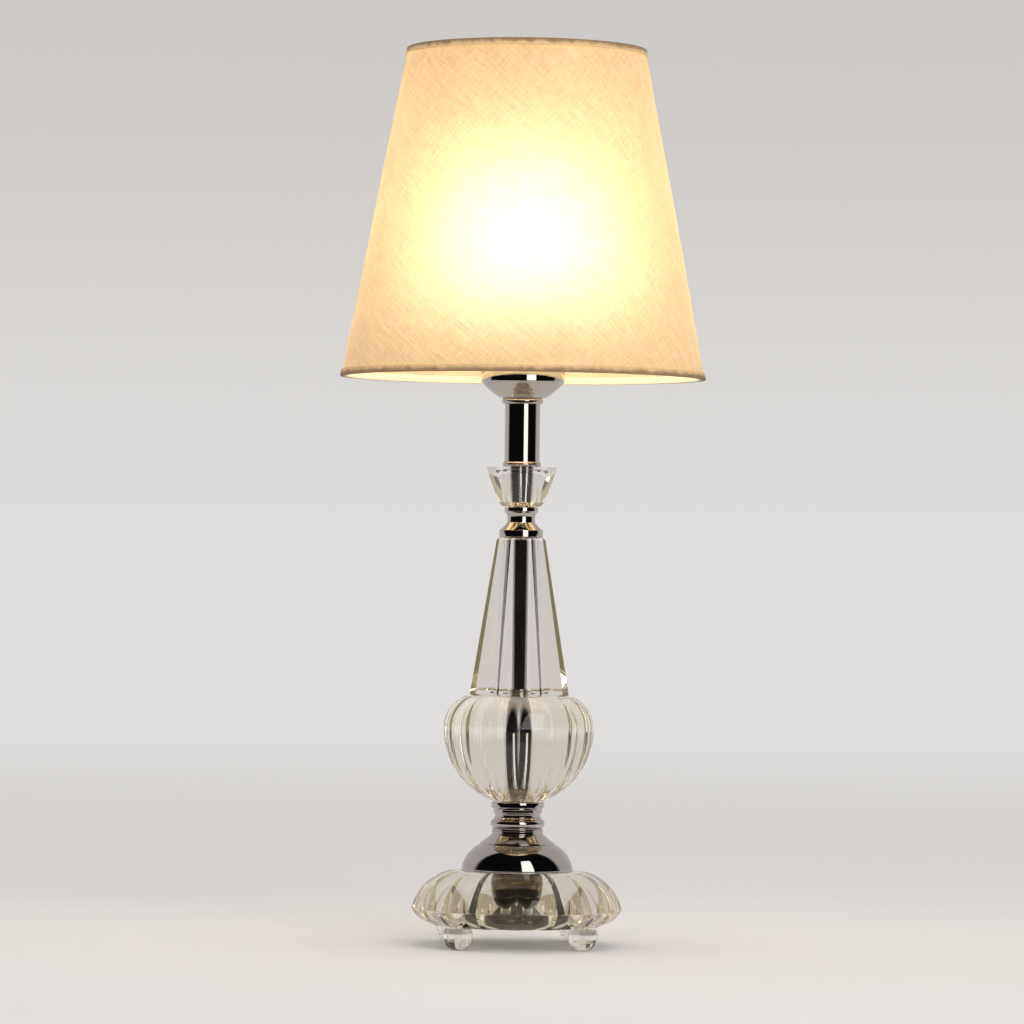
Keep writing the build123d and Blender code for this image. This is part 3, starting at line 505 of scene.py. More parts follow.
ball_share = np.cos(np.pi / BALL_FACETS)
foot, waist = (BALL_FOOT_R * ball_share, 0.0), (BALL_R * ball_share, BALL_WAIST_H)
shoulder = (BALL_TOP_R * ball_share, BALL_H)
ball_line = raised(Z_BALL, arc(foot, waist, BELLY_BULGE, 44), arc(waist, shoulder, SHOULDER_BULGE, 26)[1:])
cut_crystal("melon_ball", ball_line, sleeve_bore(Z_BALL, BALL_H), BALL_FACETS, True, 0.3, ["crystal_ball"],
            column_crystal, flutes=0.016)

# ------------------------------------------------------------------ tapered column
# Eight-sided tapered column of cut crystal with narrow bevels at both ends, a flat to the front.
Z_CONE = Z_BALL + BALL_H + GASKET_T
CONE_H = 104.7
CONE_BEVEL_H = 1.0
CONE_SIDES = 8
column_line = raised(Z_CONE, [(32.0, 0.0), (32.84, CONE_BEVEL_H), (16.26, CONE_H - CONE_BEVEL_H), (15.1, CONE_H)])
cut_crystal("tapered_column", column_line, sleeve_bore(Z_CONE, CONE_H), CONE_SIDES, False, 0.25,
            ["crystal_cone"], column_crystal)

# ------------------------------------------------------------------ sleeves in the crystals
# Thin drawn tubes that stand round the threaded tube inside the ball, column and cup. Their plating is a grey
# darker than the chrome, as painted shade for the dark reflection they show through the crystal. Each stands on the
# piece under its crystals and ends under the piece above them.
# Painted shade: a darker grey than the chrome, for the dark core seen through the crystal.
sleeve_plate_painted_dark = worn_metal("sleeve_plate_painted_dark", (0.34, 0.34, 0.35), 0.04, 0.02, 60.0, 0.03)
SLEEVE_R = 7.7
SLEEVE_BORE_R = 6.9
Z_SPOOL = Z_CONE + CONE_H + GASKET_T
SPOOL_H = 20.1
Z_TUBE_FOOT = 319.0
for name, low, high in (("lower_sleeve", Z_COLLAR + COLLAR_H, Z_SPOOL),
                        ("upper_sleeve", Z_SPOOL + SPOOL_H, Z_TUBE_FOOT)):
    sleeve_line = [(SLEEVE_BORE_R, low), (SLEEVE_R, low), (SLEEVE_R, high), (SLEEVE_BORE_R, high)]
    turned(name + "_tube", sleeve_line, 0.1, "lamp_body", [name], sleeve_plate_painted_dark, 96)

# ------------------------------------------------------------------ neck spool
# Turned and chrome-plated spool between the column and the small crystal cup: a flat foot band, a hollow neck and a
# flared top.
SPOOL_FOOT_R = 14.7
SPOOL_WAIST_R = 9.3
SPOOL_TOP_R = 11.4
spool_line = raised(
    Z_SPOOL,
    [(ROD_HOLE_R, 0.0), (SPOOL_FOOT_R - 0.6, 0.0)],
    arc((SPOOL_FOOT_R - 0.6, 0.0), (SPOOL_FOOT_R, 0.8), 0.2, 5)[1:],
    arc((SPOOL_FOOT_R, 4.9), (SPOOL_WAIST_R, 10.1), -0.3, 14),
    arc((SPOOL_WAIST_R, 14.1), (SPOOL_TOP_R, 17.5), -0.3, 12),
    [(SPOOL_TOP_R, SPOOL_H), (ROD_HOLE_R, SPOOL_H)],
)
turned("turned_spool", spool_line, 0.25, "lamp_body", ["neck_spool"], chrome)

# ------------------------------------------------------------------ small crystal cup
# Flared cup of cut crystal with ten facets, a bevelled heel and an upright band at its rim.
Z_CUP = Z_SPOOL + SPOOL_H + GASKET_T
CUP_H = 26.2
CUP_HEEL_H = 2.8
CUP_BAND_H = 5.4
CUP_SIDES = 10
cup_line = raised(Z_CUP, [(12.3, 0.0), (15.3, CUP_HEEL_H), (21.9, CUP_H - CUP_BAND_H), (23.4, CUP_H)])
cut_crystal("flared_cup", cup_line, sleeve_bore(Z_CUP, CUP_H), CUP_SIDES, True, 0.22, ["crystal_cup"],
            brighter_glow_crystal)

# ------------------------------------------------------------------ chrome tube with its two beads
# Drawn tube, 23.6 mm across, between two turned rings with rounded edges. All three are chrome plated, and each
# ring has a short spigot that centres the tube.
Z_TUBE = Z_TUBE_FOOT + 3.0
Z_TUBE_HEAD = 360.8
Z_DRIP = 364.7
TUBE_R = 11.8
TUBE_BORE_R = 10.8
SPIGOT_R = 10.5
SPIGOT_H = 2.0
FOOT_RING_R = 12.35
HEAD_RING_R = 13.3
foot_ring = np.concatenate([
    [(ROD_HOLE_R, Z_TUBE_FOOT)],
    arc((FOOT_RING_R, Z_TUBE_FOOT), (FOOT_RING_R, Z_TUBE), 0.5, 10),
    [(SPIGOT_R, Z_TUBE), (SPIGOT_R, Z_TUBE + SPIGOT_H), (ROD_HOLE_R, Z_TUBE + SPIGOT_H)],
])
head_ring = np.concatenate([
    [(ROD_HOLE_R, Z_TUBE_HEAD - SPIGOT_H), (SPIGOT_R, Z_TUBE_HEAD - SPIGOT_H), (SPIGOT_R, Z_TUBE_HEAD)],
    arc((HEAD_RING_R, Z_TUBE_HEAD), (HEAD_RING_R, Z_DRIP), 0.5, 10),
    [(ROD_HOLE_R, Z_DRIP)],
])
tube_line = [(TUBE_BORE_R, Z_TUBE), (TUBE_R, Z_TUBE), (TUBE_R, Z_TUBE_HEAD), (TUBE_BORE_R, Z_TUBE_HEAD)]
turned("tube_foot_ring", foot_ring, 0.3, "lamp_body", ["tube_foot"], chrome)
turned("drawn_tube", tube_line, 0.1, "lamp_body", ["chrome_tube"], chrome)
turned("tube_head_ring", head_ring, 0.3, "lamp_body", ["tube_head"], chrome)

# ------------------------------------------------------------------ drip cup
# Spun chrome cup round the lampholder's foot: flared side and an upright band at the rim. It hides the holder.
DRIP_FLOOR_R = 15.3
DRIP_KNEE_R = 27.9
DRIP_RIM_R = 28.2
DRIP_KNEE_H = 10.7
DRIP_H = 21.3
DRIP_WALL = 1.0


def drip_side(grow):
    """The cup's side from its floor to its rim, larger all round by grow."""
    return raised(
        Z_DRIP,
        [(ROD_HOLE_R, -grow)],
        arc((DRIP_FLOOR_R + grow / 2, -grow), (DRIP_KNEE_R + grow, DRIP_KNEE_H), 0.6, 16),
        [(DRIP_RIM_R + grow, DRIP_H)],
    )


drip_line = np.concatenate([drip_side(0.0), drip_side(-DRIP_WALL)[::-1]])
turned("drip_cup_shell", drip_line, 0.3, "lamp_body", ["drip_cup"], chrome, 192)

# ------------------------------------------------------------------ lampholder
# Two-part moulded holder for an E27 bulb: a cap screwed on the tube, and a body with a shoulder that carries the
# shade's plate and a thread for the ring nut. Black moulding; ceramic disc and brass contacts inside.
black_moulding = plain_finish("black_moulding", (0.03, 0.03, 0.032), 900.0, 3.0, 0.33, 0.45, 0.12)
Z_HOLDER = 370.0
Z_BODY = 388.0
Z_PLATE = 395.0
Z_MOUTH = 424.0
HOLDER_R = 19.5
HOLDER_BOSS_R = 8.5
HOLDER_BORE_R = 17.5
SHOULDER_R = 22.5
SHOULDER_LOW = 392.4
MOUTH_R = 17.7
MOUTH_BORE_R = 15.75
MOUTH_LIP = 2.0
cap_line = np.concatenate([
    [(ROD_HOLE_R, Z_HOLDER), (HOLDER_BOSS_R, Z_HOLDER)],
    arc((HOLDER_BOSS_R, Z_HOLDER + 3.5), (HOLDER_R, Z_HOLDER + 9.5), 0.8, 12),
    [(HOLDER_R, Z_BODY), (HOLDER_BORE_R, Z_BODY), (HOLDER_BORE_R, Z_HOLDER + 10.5)],
    [(HOLDER_BOSS_R, Z_HOLDER + 5.5), (ROD_HOLE_R, Z_HOLDER + 5.5)],
])
turned("holder_lower_half", cap_line, 0.4, "lamp_body", ["holder_cap"], black_moulding, 128)
THREAD_R = 19.45
THREAD_PITCH = 2.5
THREAD_DEPTH = 0.25
thread_z = np.arange(Z_PLATE + 1.0, Z_MOUTH - 2.6, THREAD_PITCH / 8)
body_line = np.concatenate([
    [(MOUTH_R, Z_BODY), (HOLDER_R, Z_BODY), (HOLDER_R, SHOULDER_LOW)],
    [(SHOULDER_R, SHOULDER_LOW), (SHOULDER_R, Z_PLATE)],
    np.stack([np.full(len(thread_z), THREAD_R), thread_z], 1),
    arc((THREAD_R, Z_MOUTH - MOUTH_LIP), (MOUTH_R, Z_MOUTH), 0.6, 6),
    [(MOUTH_BORE_R, Z_MOUTH), (MOUTH_BORE_R, Z_MOUTH - MOUTH_LIP), (MOUTH_R, Z_MOUTH - MOUTH_LIP)],
])


def holder_thread(u, radius, z):
    """Rolled thread: depth sin(2 pi z / pitch - u) between the shoulder and the mouth's rounding."""
    on = (z > Z_PLATE + 0.9) & (z < Z_MOUTH - 2.5) & (radius > MOUTH_R)
    return np.where(on, THREAD_DEPTH * np.sin(2 * np.pi * z / THREAD_PITCH - u), 0.0)


turned("holder_upper_half", body_line, 0.3, "lamp_body", ["holder_body"], black_moulding, 128,
       waves=holder_thread)
glaze = plain_finish("glazed_ceramic", (0.78, 0.76, 0.70), 420.0, 3.0, 0.15, 0.3)
brass = worn_metal("rolled_brass", (0.72, 0.50, 0.20), 0.22, 0.08, 240.0, 0.15)
dress(glaze, "contact_carrier")
dress(brass, "screw_shell", "centre_contact")

# ------------------------------------------------------------------ ring nut
# Moulded ring nut that clamps the shade's plate on the holder's shoulder, with a flange and twenty-four finger
# grips round its barrel.
Z_NUT = Z_PLATE + 2.0
NUT_BORE_R = 19.85
FLANGE_R = 26.0
BARREL_R = 23.0
GRIPS = 24
GRIP_DEPTH = 0.8


def grips(u, radius, z):
    """Scallops in the barrel's side: each takes off up to the grip's depth where cos(grips u) is near 1."""
    side = (z > Z_NUT + 2.2) & (z < Z_NUT + 7.8) & (radius > (NUT_BORE_R + BARREL_R) / 2)
    return np.where(side, -GRIP_DEPTH * np.clip(np.cos(GRIPS * u), 0, 1) ** 2, 0.0)


nut_line = raised(
    Z_NUT,
    [(FLANGE_R, 0.0), (FLANGE_R, 2.0), (BARREL_R, 2.0), (BARREL_R, 2.6), (BARREL_R, 7.4), (BARREL_R, 8.0)],
    [(NUT_BORE_R, 8.0), (NUT_BORE_R, 4.0), (NUT_BORE_R, 0.0)],
)
turned("finger_ring", nut_line, 0.3, "ring_nut", ["shade_ring_nut"], black_moulding, 288,
       waves=grips)

# ------------------------------------------------------------------ bulb
# Frosted E27 bulb, 60 mm across, lit. Rolled thin cap with its screw thread, black vitrified insulator and solder
# tip; a glass stem and a filament inside.
cap_metal = worn_metal("rolled_cap", (0.66, 0.66, 0.64), 0.28, 0.08, 200.0, 0.15)
Z_TIP = 397.15
CAP_LOW = Z_TIP + 3.8
CAP_TOP = CAP_LOW + 22.0
CAP_NOSE_R = 9.0
CAP_R = 12.55
CAP_WALL = 0.4
CAP_PITCH = 3.629
CAP_THREAD_DEPTH = 0.4
shell_z = np.arange(CAP_LOW + 5.2, CAP_TOP - 3.0, CAP_PITCH / 10)
cap_outside = np.concatenate([
    [(0.0, CAP_LOW), (CAP_NOSE_R, CAP_LOW), (12.4, CAP_LOW + 3.6)],
    np.stack([np.full(len(shell_z), CAP_R), shell_z], 1),
    [(12.75, CAP_TOP - 1.5), (12.9, CAP_TOP), (12.5, CAP_TOP), (12.3, CAP_TOP - 1.5), (12.1, CAP_LOW + 3.8)],
    [(8.8, CAP_LOW + CAP_WALL), (0.0, CAP_LOW + CAP_WALL)],
])


def cap_thread(u, radius, z):
    """Edison thread: depth sin(2 pi z / pitch - u) along the shell."""
    on = (z > CAP_LOW + 5.1) & (z < CAP_TOP - 3.0) & (radius > CAP_NOSE_R)
    return np.where(on, CAP_THREAD_DEPTH * np.sin(2 * np.pi * z / CAP_PITCH - u), 0.0)


turned("rolled_cap", cap_outside, 0.3, "bulb", ["bulb_cap"], cap_metal, 128, False, cap_thread)
vitrite = plain_finish("vitrified_insulator", (0.012, 0.012, 0.014), 500.0, 2.0, 0.12, 0.25)
insulator_line = [(0.0, Z_TIP + 1.2), (4.5, Z_TIP + 1.2), (CAP_NOSE_R, CAP_LOW), (0.0, CAP_LOW)]
turned("bulb_insulator_cone", insulator_line, 0.3, "bulb", ["bulb_insulator"], vitrite, 96,
       False)

BULB_R = 30.0
BULB_LENGTH = 101.0
BULB_NECK_R = 12.3
BULB_GLOW = 40.0
belly_z = Z_TIP + BULB_LENGTH - BULB_R
lean = np.radians(20)
meet = (BULB_R * np.cos(lean), belly_z - BULB_R * np.sin(lean))
crown_turn = np.linspace(-lean, np.pi / 2, 40)
envelope = np.concatenate([
    [(0.0, CAP_TOP - 8.0), (BULB_NECK_R, CAP_TOP - 8.0)],
    arc((BULB_NECK_R, CAP_TOP + 3.0), meet, -3.2, 20),
    np.stack([BULB_R * np.cos(crown_turn), belly_z + BULB_R * np.sin(crown_turn)], 1)[1:],
])
envelope[-1, 0] = 0.0
tree, lit_glass = tree_of("lit_frosted_glass")
place = object_space(tree)
frost = noise(tree, place, 900.0, 2.0)
height = put(tree, "ShaderNodeSeparateXYZ", Vector=place).outputs["Z"]
share = stepped(tree, height, CAP_TOP / 1000, belly_z / 1000, 0.25, 1.0)
skinned(tree, (0.90, 0.88, 0.84), Roughness=spread(tree, frost, 0.4, 0.55), Emission_Color=(1.0, 0.83, 0.58, 1.0),
        Emission_Strength=calc(tree, share, "MULTIPLY", BULB_GLOW))
turned("bulb_envelope", envelope, 0.5, "bulb", ["bulb_glass"], lit_glass, 96, False)
stem_glass = plain_finish("clear_stem_glass", (0.8, 0.8, 0.8), 500.0, 2.0, 0.02, 0.08, IOR=1.5,
                          Transmission_Weight=1.0)
dress(stem_glass, "bulb_stem")
dress(worn_metal("drawn_wire", (0.35, 0.33, 0.30), 0.35, 0.1, 400.0, 0.2), "bulb_filament")

# ------------------------------------------------------------------ shade frame and top hoop
# Round steel wire, powder coated white: a hoop in each edge of the shade, and three spokes from the lower hoop to
# the clamping plate on the holder's shoulder. Bent and resistance welded.
white_coat = plain_finish("white_powder_coat", (0.84, 0.83, 0.80), 1100.0, 3.0, 0.32, 0.5, 0.2)
SHADE_LOW = 378.0
SHADE_HIGH = 597.5
SHADE_LOW_R = 121.3
SHADE_HIGH_R = 79.3
WIRE_R = 1.5
SPOKE_R = 1.6
HOOP_INSET = 2.9
HOOP_LOW = SHADE_LOW + 2.2
HOOP_HIGH = SHADE_HIGH - 2.2


def shade_r(z):
    """Radius of the linen's outer face at height z, a straight line between the shade's edges."""
    return SHADE_LOW_R + (SHADE_HIGH_R - SHADE_LOW_R) * (z - SHADE_LOW) / (SHADE_HIGH - SHADE_LOW)


def wire(path, radius, columns=16):
    """Round wire along a path of points: P + radius (cos v N + sin v B), with N level and B square to both. Both
    ends are drawn together to a point."""
    way = np.gradient(path, axis=0)
    way /= np.linalg.norm(way, axis=1)[:, None]
    level = np.cross(way, [0, 0, 1.0])
    level /= np.linalg.norm(level, axis=1)[:, None]
    v = np.linspace(0, 2 * np.pi, columns, endpoint=False)[None, :, None]
    size = np.full(len(path), radius)
    size[[0, -1]] = 0.0
    ring = np.cos(v) * level[:, None] + np.sin(v) * np.cross(way, level)[:, None]
    return path[:, None] + size[:, None, None] * ring


v = np.linspace(0, 2 * np.pi, 32, endpoint=False)
for name, z, replaced in (("top_hoop_wire", HOOP_HIGH, "shade_top_hoop"),
                          ("lower_hoop_wire", HOOP_LOW, "shade_frame")):
    hoop_line = WIRE_R * around(v) + (shade_r(z) - HOOP_INSET, z)
    turned(name, hoop_line, 0.0, "shade", [replaced], white_coat, 224)
PLATE_R = 27.0
PLATE_BORE_R = 20.2
plate_line = [(PLATE_BORE_R, Z_PLATE), (PLATE_R, Z_PLATE), (PLATE_R, Z_NUT), (PLATE_BORE_R, Z_NUT)]
turned("clamping_plate", plate_line, 0.3, "shade", [], white_coat, 128)
SPOKE_BEND_R = 45.0
BEND_CUT = 3.2
bend = np.array([SPOKE_BEND_R, Z_PLATE])
spoke_end = np.array([shade_r(HOOP_LOW) - HOOP_INSET, HOOP_LOW])
bend_start = bend - (BEND_CUT, 0.0)
bend_end = bend + (spoke_end - bend) / np.linalg.norm(spoke_end - bend) * BEND_CUT
t = np.linspace(0, 1, 9)[:, None]
spoke_line = np.concatenate([
    [(25.4, Z_PLATE), (25.5, Z_PLATE), (30.0, Z_PLATE)],
    (1 - t) ** 2 * bend_start + 2 * t * (1 - t) * bend + t**2 * bend_end,
    bend_end + (spoke_end - bend_end) * np.array([0.5, 0.97, 1.0])[:, None],
])
for k in range(3):
    bearing = np.radians(90 + 120 * k)
    path = np.concatenate([spoke_line[:, :1] * around(bearing), spoke_line[:, 1:]], 1)
    surface(f"spoke_{k + 1}", wire(path, SPOKE_R) / 1000, "shade", [], white_coat, False)

# ------------------------------------------------------------------ linen cover and its liner
# Natural slubby linen, cut on the bias as the flat sector of the cone, laminated to a white styrene liner and
# lapped at the back. Lit from inside, its threads show as fine crossed streaks with darker slubs and flecks.
slope = (SHADE_LOW_R - SHADE_HIGH_R) / (SHADE_HIGH - SHADE_LOW)
sin_half = slope / np.hypot(1, slope)
SHEET_LOW = SHADE_LOW + 0.7
SHEET_HIGH = SHADE_HIGH - 0.7
LAP_W = 8.0
LAP_LIFT = 0.35
SWAY = 0.12


def cone_sheet(name, inset, rows, columns, material, replaced):
    """Sheet laid round the cone, open at the lap behind: (r cos u, r sin u, z) with r = shade_r(z) - inset, lifted
    over the lap and swaying a little between its edges. Its UV map is the flat cut in metres: the point at distance
    d from the cone's tip and angle u sin(half angle)."""
    lap_angle = LAP_W / shade_r(SHEET_LOW)
    u = np.linspace(np.pi / 2 - lap_angle, np.pi / 2 + 2 * np.pi, columns)[None]
    z = np.linspace(SHEET_LOW, SHEET_HIGH, rows)[:, None]
    lift = LAP_LIFT * np.clip((u - np.pi / 2 - 2 * np.pi + 1.6 * lap_angle) / lap_angle, 0, 1)
    from_edges = np.sin(np.pi * (z - SHEET_LOW) / (SHEET_HIGH - SHEET_LOW))
    sway = SWAY * (np.sin(9 * u + 0.030 * z) + 0.6 * np.sin(23 * u + 0.041 * z + 1.7)) * from_edges
    points = swept(shade_r(z) - inset + lift + sway, u, z)
    mesh = bpy.data.meshes.new(name)
    number = np.arange(rows * columns).reshape(rows, columns)
    quads = np.stack([number[:-1, :-1], number[:-1, 1:], number[1:, 1:], number[1:, :-1]], 2)
    mesh.from_pydata(points.reshape(-1, 3).tolist(), [], quads.reshape(-1, 4).tolist())
    mesh.shade_smooth()
    tip = shade_r(z) / sin_half / 1000
    flat_angle = (u - 1.5 * np.pi) * sin_half
    cut = np.stack([tip * np.sin(flat_angle), -tip * np.cos(flat_angle)], 2).reshape(-1, 2)
    corners = np.empty(len(mesh.loops), np.int32)
    mesh.loops.foreach_get("vertex_index", corners)
    mesh.uv_layers.new(name="cut").data.foreach_set("uv", cut[corners].ravel())
    mesh.materials.append(material)
    return fixed(name, mesh, "shade", replaced)


def threads(tree, place, angle, across, along):
    """Streaks of thread lying at an angle in the cloth: noise drawn out along the thread. across and along are the
    threads and the slubs per metre."""
    point = {"vector_type": "POINT"}
    laid = put(tree, "ShaderNodeMapping", point, Vector=place, Rotation=(0, 0, np.radians(angle)))
    drawn = put(tree, "ShaderNodeMapping", point, Vector=laid.outputs[0], Scale=(along, across, 1.0))
    return noise(tree, drawn.outputs[0], 1.0, 2.0, 0.55, True)


def blended(tree, share, first, second, kind="MIX"):
    """Colour from the first to the second, with a share from 0 to 1. Both are colours or links."""
    first, second = (side if isinstance(side, bpy.types.NodeSocket) else (*side, 1.0) for side in (first, second))
    settings = {"data_type": "RGBA", "blend_type": kind}
    return put(tree, "ShaderNodeMix", settings, i0=share, i6=first, i7=second).outputs[2]


def shared(tree, share, first, second):
    """Shader that is the second by a share, and otherwise the first."""
    return put(tree, "ShaderNodeMixShader", i0=share, i1=first.outputs[0], i2=second.outputs[0])


WARP, WEFT = 41.0, -49.0
tree, linen = tree_of("bias_linen")
place = put(tree, "ShaderNodeUVMap", {"uv_map": "cut"}).outputs[0]
crossed = calc(tree, threads(tree, place, WARP, 900.0, 55.0), "ADD", threads(tree, place, WEFT, 900.0, 90.0))
coarse = calc(tree, threads(tree, place, WARP, 260.0, 28.0), "MULTIPLY", 0.45)
weave = calc(tree, crossed, "ADD", coarse)
slub = stepped(tree, threads(tree, place, WARP, 520.0, 60.0), 0.66, 0.78)
slub_cross = stepped(tree, threads(tree, place, WEFT, 520.0, 110.0), 0.70, 0.80)
fleck = stepped(tree, threads(tree, place, 20.0, 620.0, 420.0), 0.75, 0.79)
slubs = calc(tree, calc(tree, slub, "MAXIMUM", slub_cross), "MULTIPLY", 0.34)
marks = calc(tree, slubs, "MAXIMUM", calc(tree, fleck, "MULTIPLY", 0.8))
cloud = spread(tree, noise(tree, place, 18.0, 3.0, flat=True), 0.0, 1.0)
ground = blended(tree, stepped(tree, weave, 0.85, 1.6), (0.74, 0.55, 0.31), (0.90, 0.73, 0.47))
fibre = blended(tree, marks, ground, (0.42, 0.27, 0.12))
patchy = blended(tree, cloud, (0.93, 0.92, 0.90), (1.0, 1.0, 1.0))
shown = blended(tree, 1.0, fibre, patchy, "MULTIPLY")
deeper = blended(tree, 1.0, shown, (1.0, 0.88, 0.74), "MULTIPLY")
paler = blended(tree, 0.78, shown, (1.0, 0.97, 0.90))
face = put(tree, "ShaderNodeBsdfPrincipled", Base_Color=shown, Roughness=0.85, Sheen_Weight=0.15,
           Specular_IOR_Level=0.2, Normal=relief(tree, weave, 0.35, 0.0002))
glow_through = put(tree, "ShaderNodeBsdfTranslucent", Color=deeper)
glow_ahead = put(tree, "ShaderNodeBsdfRefraction", Color=paler, Roughness=1.0, IOR=2.1)
cloth = shared(tree, 0.24, shared(tree, 0.19, face, glow_through), glow_ahead)
put(tree, "ShaderNodeOutputMaterial", Surface=cloth.outputs[0])
cover = cone_sheet("linen_cover", 0.0, 48, 320, linen, ["shade_fabric"])

tree, styrene = tree_of("styrene_liner")
place = put(tree, "ShaderNodeUVMap", {"uv_map": "cut"}).outputs[0]
mottle = spread(tree, noise(tree, place, 60.0, 3.0, flat=True), 0.0, 1.0)
sheet_white = blended(tree, mottle, (0.93, 0.87, 0.73), (0.97, 0.92, 0.80))
face = put(tree, "ShaderNodeBsdfPrincipled", Base_Color=sheet_white, Roughness=0.4)
clear = put(tree, "ShaderNodeBsdfTransparent", Color=(0.96, 0.93, 0.86, 1.0))
put(tree, "ShaderNodeOutputMaterial", Surface=shared(tree, 0.6, face, clear).outputs[0])
cone_sheet("styrene_liner", 1.0, 32, 256, styrene, ["shade_liner"])

# ------------------------------------------------------------------ hem tapes
# Folded linen tape glued over each edge of the shade and its hoop, with a slightly uneven hand-laid edge. Its
# colour
# is painted light: dark brown at the edge as painted shade where the hoop and folds block the bulb's glow, turning
# over about 4 mm to a warm tone that paints the cover's glow, and its inside face is a painted glow in the pale
# tone of the lit liner.
HEM_W = 4.6
HEM_T = 0.6


def hem_line(edge, way):
    """Profile of the folded tape at the edge height; way is 1 for the lower edge and -1 for the upper one. It goes
    over the linen outside, round the edge and up behind the hoop."""
    tip, web = edge + way * HEM_W, edge + way * HEM_T
    under, behind = 0.1, -4.6
    over, beyond = under + HEM_T, behind - HEM_T
    profile = [
        (shade_r(edge) + 0.4, edge), (shade_r(web) + over, web), (shade_r(tip) + over, tip),
        (shade_r(tip) + under, tip), (shade_r(web) + under, web), (shade_r(web) + behind, web),
        (shade_r(tip) + behind, tip), (shade_r(tip) + beyond, tip), (shade_r(web) + beyond, web),
        (shade_r(edge) + behind - HEM_T / 2, edge),
    ]
    return np.array(profile)


tree, tape = tree_of("linen_tape_painted_light")
split = put(tree, "ShaderNodeSeparateXYZ", Vector=object_space(tree))
x, y, z = (split.outputs[axis] for axis in "XYZ")
bearing = calc(tree, x, "ARCTAN2", y)
laid = put(tree, "ShaderNodeCombineXYZ", X=calc(tree, bearing, "MULTIPLY", 120.0),
           Y=calc(tree, z, "MULTIPLY", 1000.0))
cord_weave = noise(tree, laid.outputs[0], 1.6, 3.0, flat=True)
patch = noise(tree, laid.outputs[0], 0.10, 2.0, flat=True)
above_low, below_high = calc(tree, z, "SUBTRACT", SHADE_LOW / 1000), calc(tree, SHADE_HIGH / 1000, "SUBTRACT", z)
from_edge = calc(tree, above_low, "MINIMUM", below_high)
ragged = calc(tree, from_edge, "ADD", spread(tree, patch, -0.0007, 0.0007))
# Painted shade: dark within about a millimetre of each edge, turning to the painted glow by about 4 mm in.
shade_to_glow_share = calc(tree, stepped(tree, ragged, 0.0008, 0.0042), "ADD", spread(tree, cord_weave, -0.12, 0.12))
from_axis = put(tree, "ShaderNodeVectorMath", {"operation": "LENGTH"},
                i0=put(tree, "ShaderNodeCombineXYZ", X=x, Y=y).outputs[0]).outputs["Value"]
side = calc(tree, SHADE_LOW_R / 1000, "SUBTRACT", calc(tree, above_low, "MULTIPLY", slope))
# The inside face is a painted glow, in the pale tone of the lit liner.
inside = stepped(tree, calc(tree, side, "SUBTRACT", from_axis), 0.0022, 0.0030)
outer_painted_light = blended(tree, shade_to_glow_share, (0.29, 0.18, 0.095), (0.80, 0.54, 0.28))
skinned(tree, blended(tree, inside, outer_painted_light, (0.90, 0.80, 0.58)), Roughness=0.9,
        Normal=relief(tree, cord_weave, 0.5, 0.0002))


def hand_laid(u, _, z):
    """Unevenness of the glued tape, a few hundredths of a millimetre, the same on both of its faces."""
    return 0.05 * np.sin(31 * u + z) + 0.04 * np.sin(53 * u + 2 * z)


for name, edge, way, replaced in (("top_hem_tape", SHADE_HIGH, -1, "shade_top_hem"),
                                  ("lower_hem_tape", SHADE_LOW, 1, "shade_bottom_hem")):
    turned(name, hem_line(edge, way), 0.2, "shade", [replaced], tape, 288, waves=hand_laid)

# ------------------------------------------------------------------ table, backdrop and lamp
# A plain pale table top that fades into a plain pale backdrop, a tall soft lamp in front on the right, and even
# light all round. Metal and glass see the pale backdrop behind the lamp and the darker room in front.
ROUND = 96
u = np.linspace(0, 2 * np.pi, ROUND, endpoint=False)
rings = np.array([0.3, 1.0, 3.0, 9.0, 30.0])
table_points = np.concatenate([np.zeros((1, 3)), swept(1000 * rings[:, None], u, 0.0).reshape(-1, 3)])
first = 1 + np.arange(ROUND)
after = np.roll(first, -1)
faces = np.stack([np.zeros(ROUND, int), first, after], 1).tolist()
for low in ROUND * np.arange(len(rings) - 1):
    faces += np.stack([first + low, first + low + ROUND, after + low + ROUND, after + low], 1).tolist()
table = bpy.data.meshes.new("table_top")
table.from_pydata(table_points.tolist(), [], faces)
PALE_LOW = (0.745, 0.730, 0.718)
PALE_HIGH = (0.610, 0.590, 0.572)
DARK = (0.005, 0.005, 0.006)
tree, table_finish = tree_of("pale_table")
place = object_space(tree)
away = put(tree, "ShaderNodeVectorMath", {"operation": "LENGTH"}, i0=place).outputs["Value"]
y = put(tree, "ShaderNodeSeparateXYZ", Vector=place).outputs["Y"]
ray = put(tree, "ShaderNodeLightPath").outputs
board = put(tree, "ShaderNodeBsdfDiffuse", Color=(0.80, 0.79, 0.782, 1.0))
far_tone = put(tree, "ShaderNodeEmission", Color=(*PALE_LOW, 1.0))
dark_tone = put(tree, "ShaderNodeEmission", Color=(*DARK, 1.0))
fade = shared(tree, stepped(tree, away, 1.2, 4.5), board, far_tone)
mirrored_share = calc(tree, ray["Is Glossy Ray"], "MINIMUM", ray["Glossy Depth"])
in_front = calc(tree, stepped(tree, y, -0.55, -0.25, 1.0, 0.0), "MULTIPLY", mirrored_share)
put(tree, "ShaderNodeOutputMaterial", Surface=shared(tree, in_front, fade, dark_tone).outputs[0])
table.materials.append(table_finish)
table_top = placed("table_top", table)

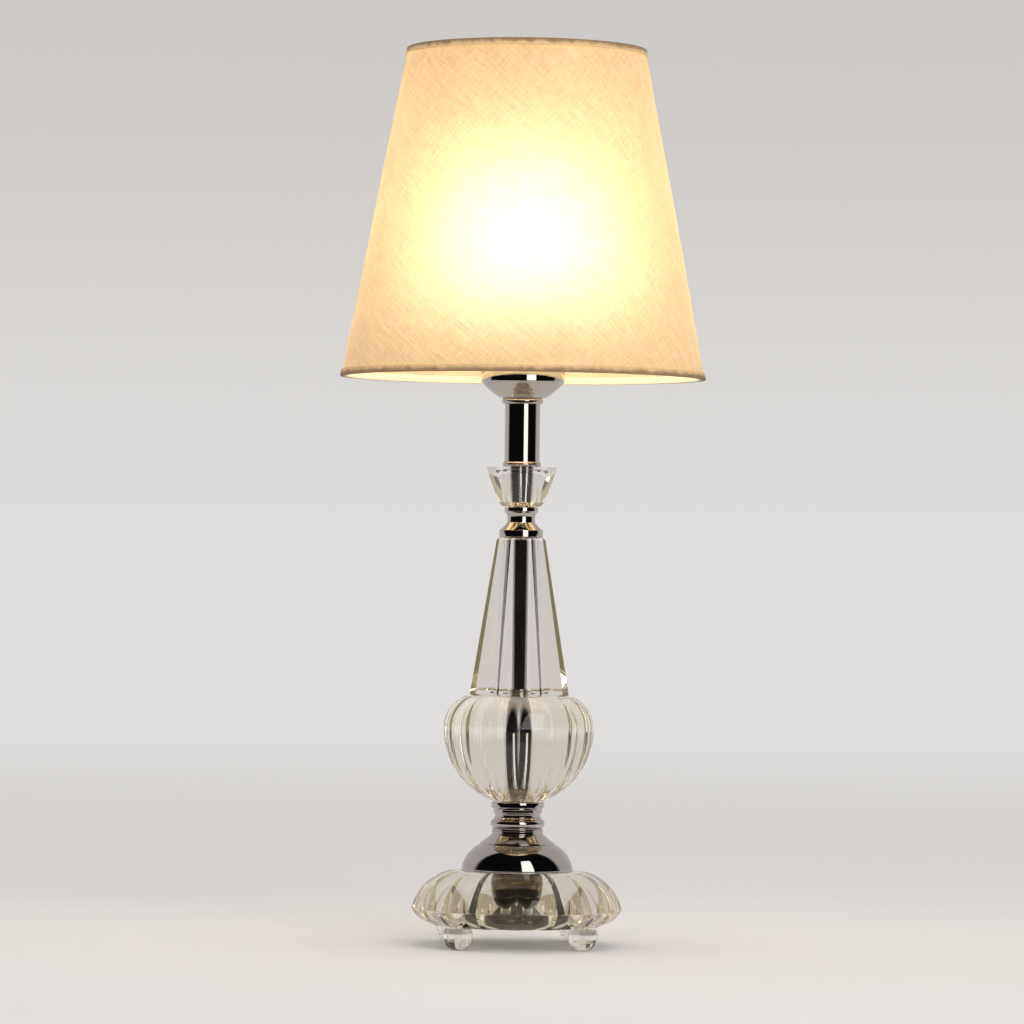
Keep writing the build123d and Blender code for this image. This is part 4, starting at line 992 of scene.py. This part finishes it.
world = bpy.data.worlds.new("studio")
bpy.context.scene.world = world
world.use_nodes = True
tree = world.node_tree
tree.nodes.clear()
split = put(tree, "ShaderNodeSeparateXYZ", Vector=put(tree, "ShaderNodeTexCoord").outputs["Generated"])
x, y, z = (split.outputs[axis] for axis in "XYZ")
ray = put(tree, "ShaderNodeLightPath").outputs
BACK_ENDS, FRONT_BEGINS = 1.62, 1.85    # radians from the middle of the backdrop
bearing = calc(tree, x, "ARCTAN2", calc(tree, y, "MULTIPLY", -1.0))
aside = put(tree, "ShaderNodeMath", {"operation": "ABSOLUTE"}, i0=bearing).outputs[0]
pale = blended(tree, stepped(tree, z, -0.01, 0.11), PALE_LOW, PALE_HIGH)
deep = stepped(tree, ray["Transmission Depth"], 2.0, 4.0)
lifted = stepped(tree, ray["Transmission Depth"], 0.0, 2.0)
dim = calc(tree, calc(tree, 1.0, "SUBTRACT", deep), "MULTIPLY", lifted)
front_tone = blended(tree, dim, DARK, (0.30, 0.275, 0.195))
room = blended(tree, stepped(tree, aside, BACK_ENDS, FRONT_BEGINS), front_tone, pale)
ambient = put(tree, "ShaderNodeBackground", Color=(1.0, 0.985, 0.97, 1.0), Strength=0.80)
backdrop = put(tree, "ShaderNodeBackground", Color=pale)
mirrored = put(tree, "ShaderNodeBackground", Color=room)
once_mirrored = calc(tree, ray["Glossy Depth"], "MINIMUM", 1.0)
by_glossy = shared(tree, once_mirrored, backdrop, mirrored)
lit = shared(tree, ray["Is Camera Ray"], ambient, backdrop)
put(tree, "ShaderNodeOutputWorld", Surface=shared(tree, ray["Is Glossy Ray"], lit, by_glossy).outputs[0])

LAMP_W = 0.80
LAMP_H = 2.2
LAMP_RADIANCE = 2.2
lamp = bpy.data.lights.new("tall_soft_lamp", "AREA")
lamp.shape = "RECTANGLE"
lamp.size, lamp.size_y = LAMP_W, LAMP_H
lamp.energy = np.pi * LAMP_W * LAMP_H * LAMP_RADIANCE
lamp.color = (1.0, 0.99, 0.97)
soft_lamp = placed("tall_soft_lamp", lamp)
soft_lamp.location = (0.70, -1.62, 1.25)
soft_lamp.rotation_euler = (np.pi / 2, 0.0, np.arctan2(0.70, 1.62))
soft_lamp.visible_camera = False
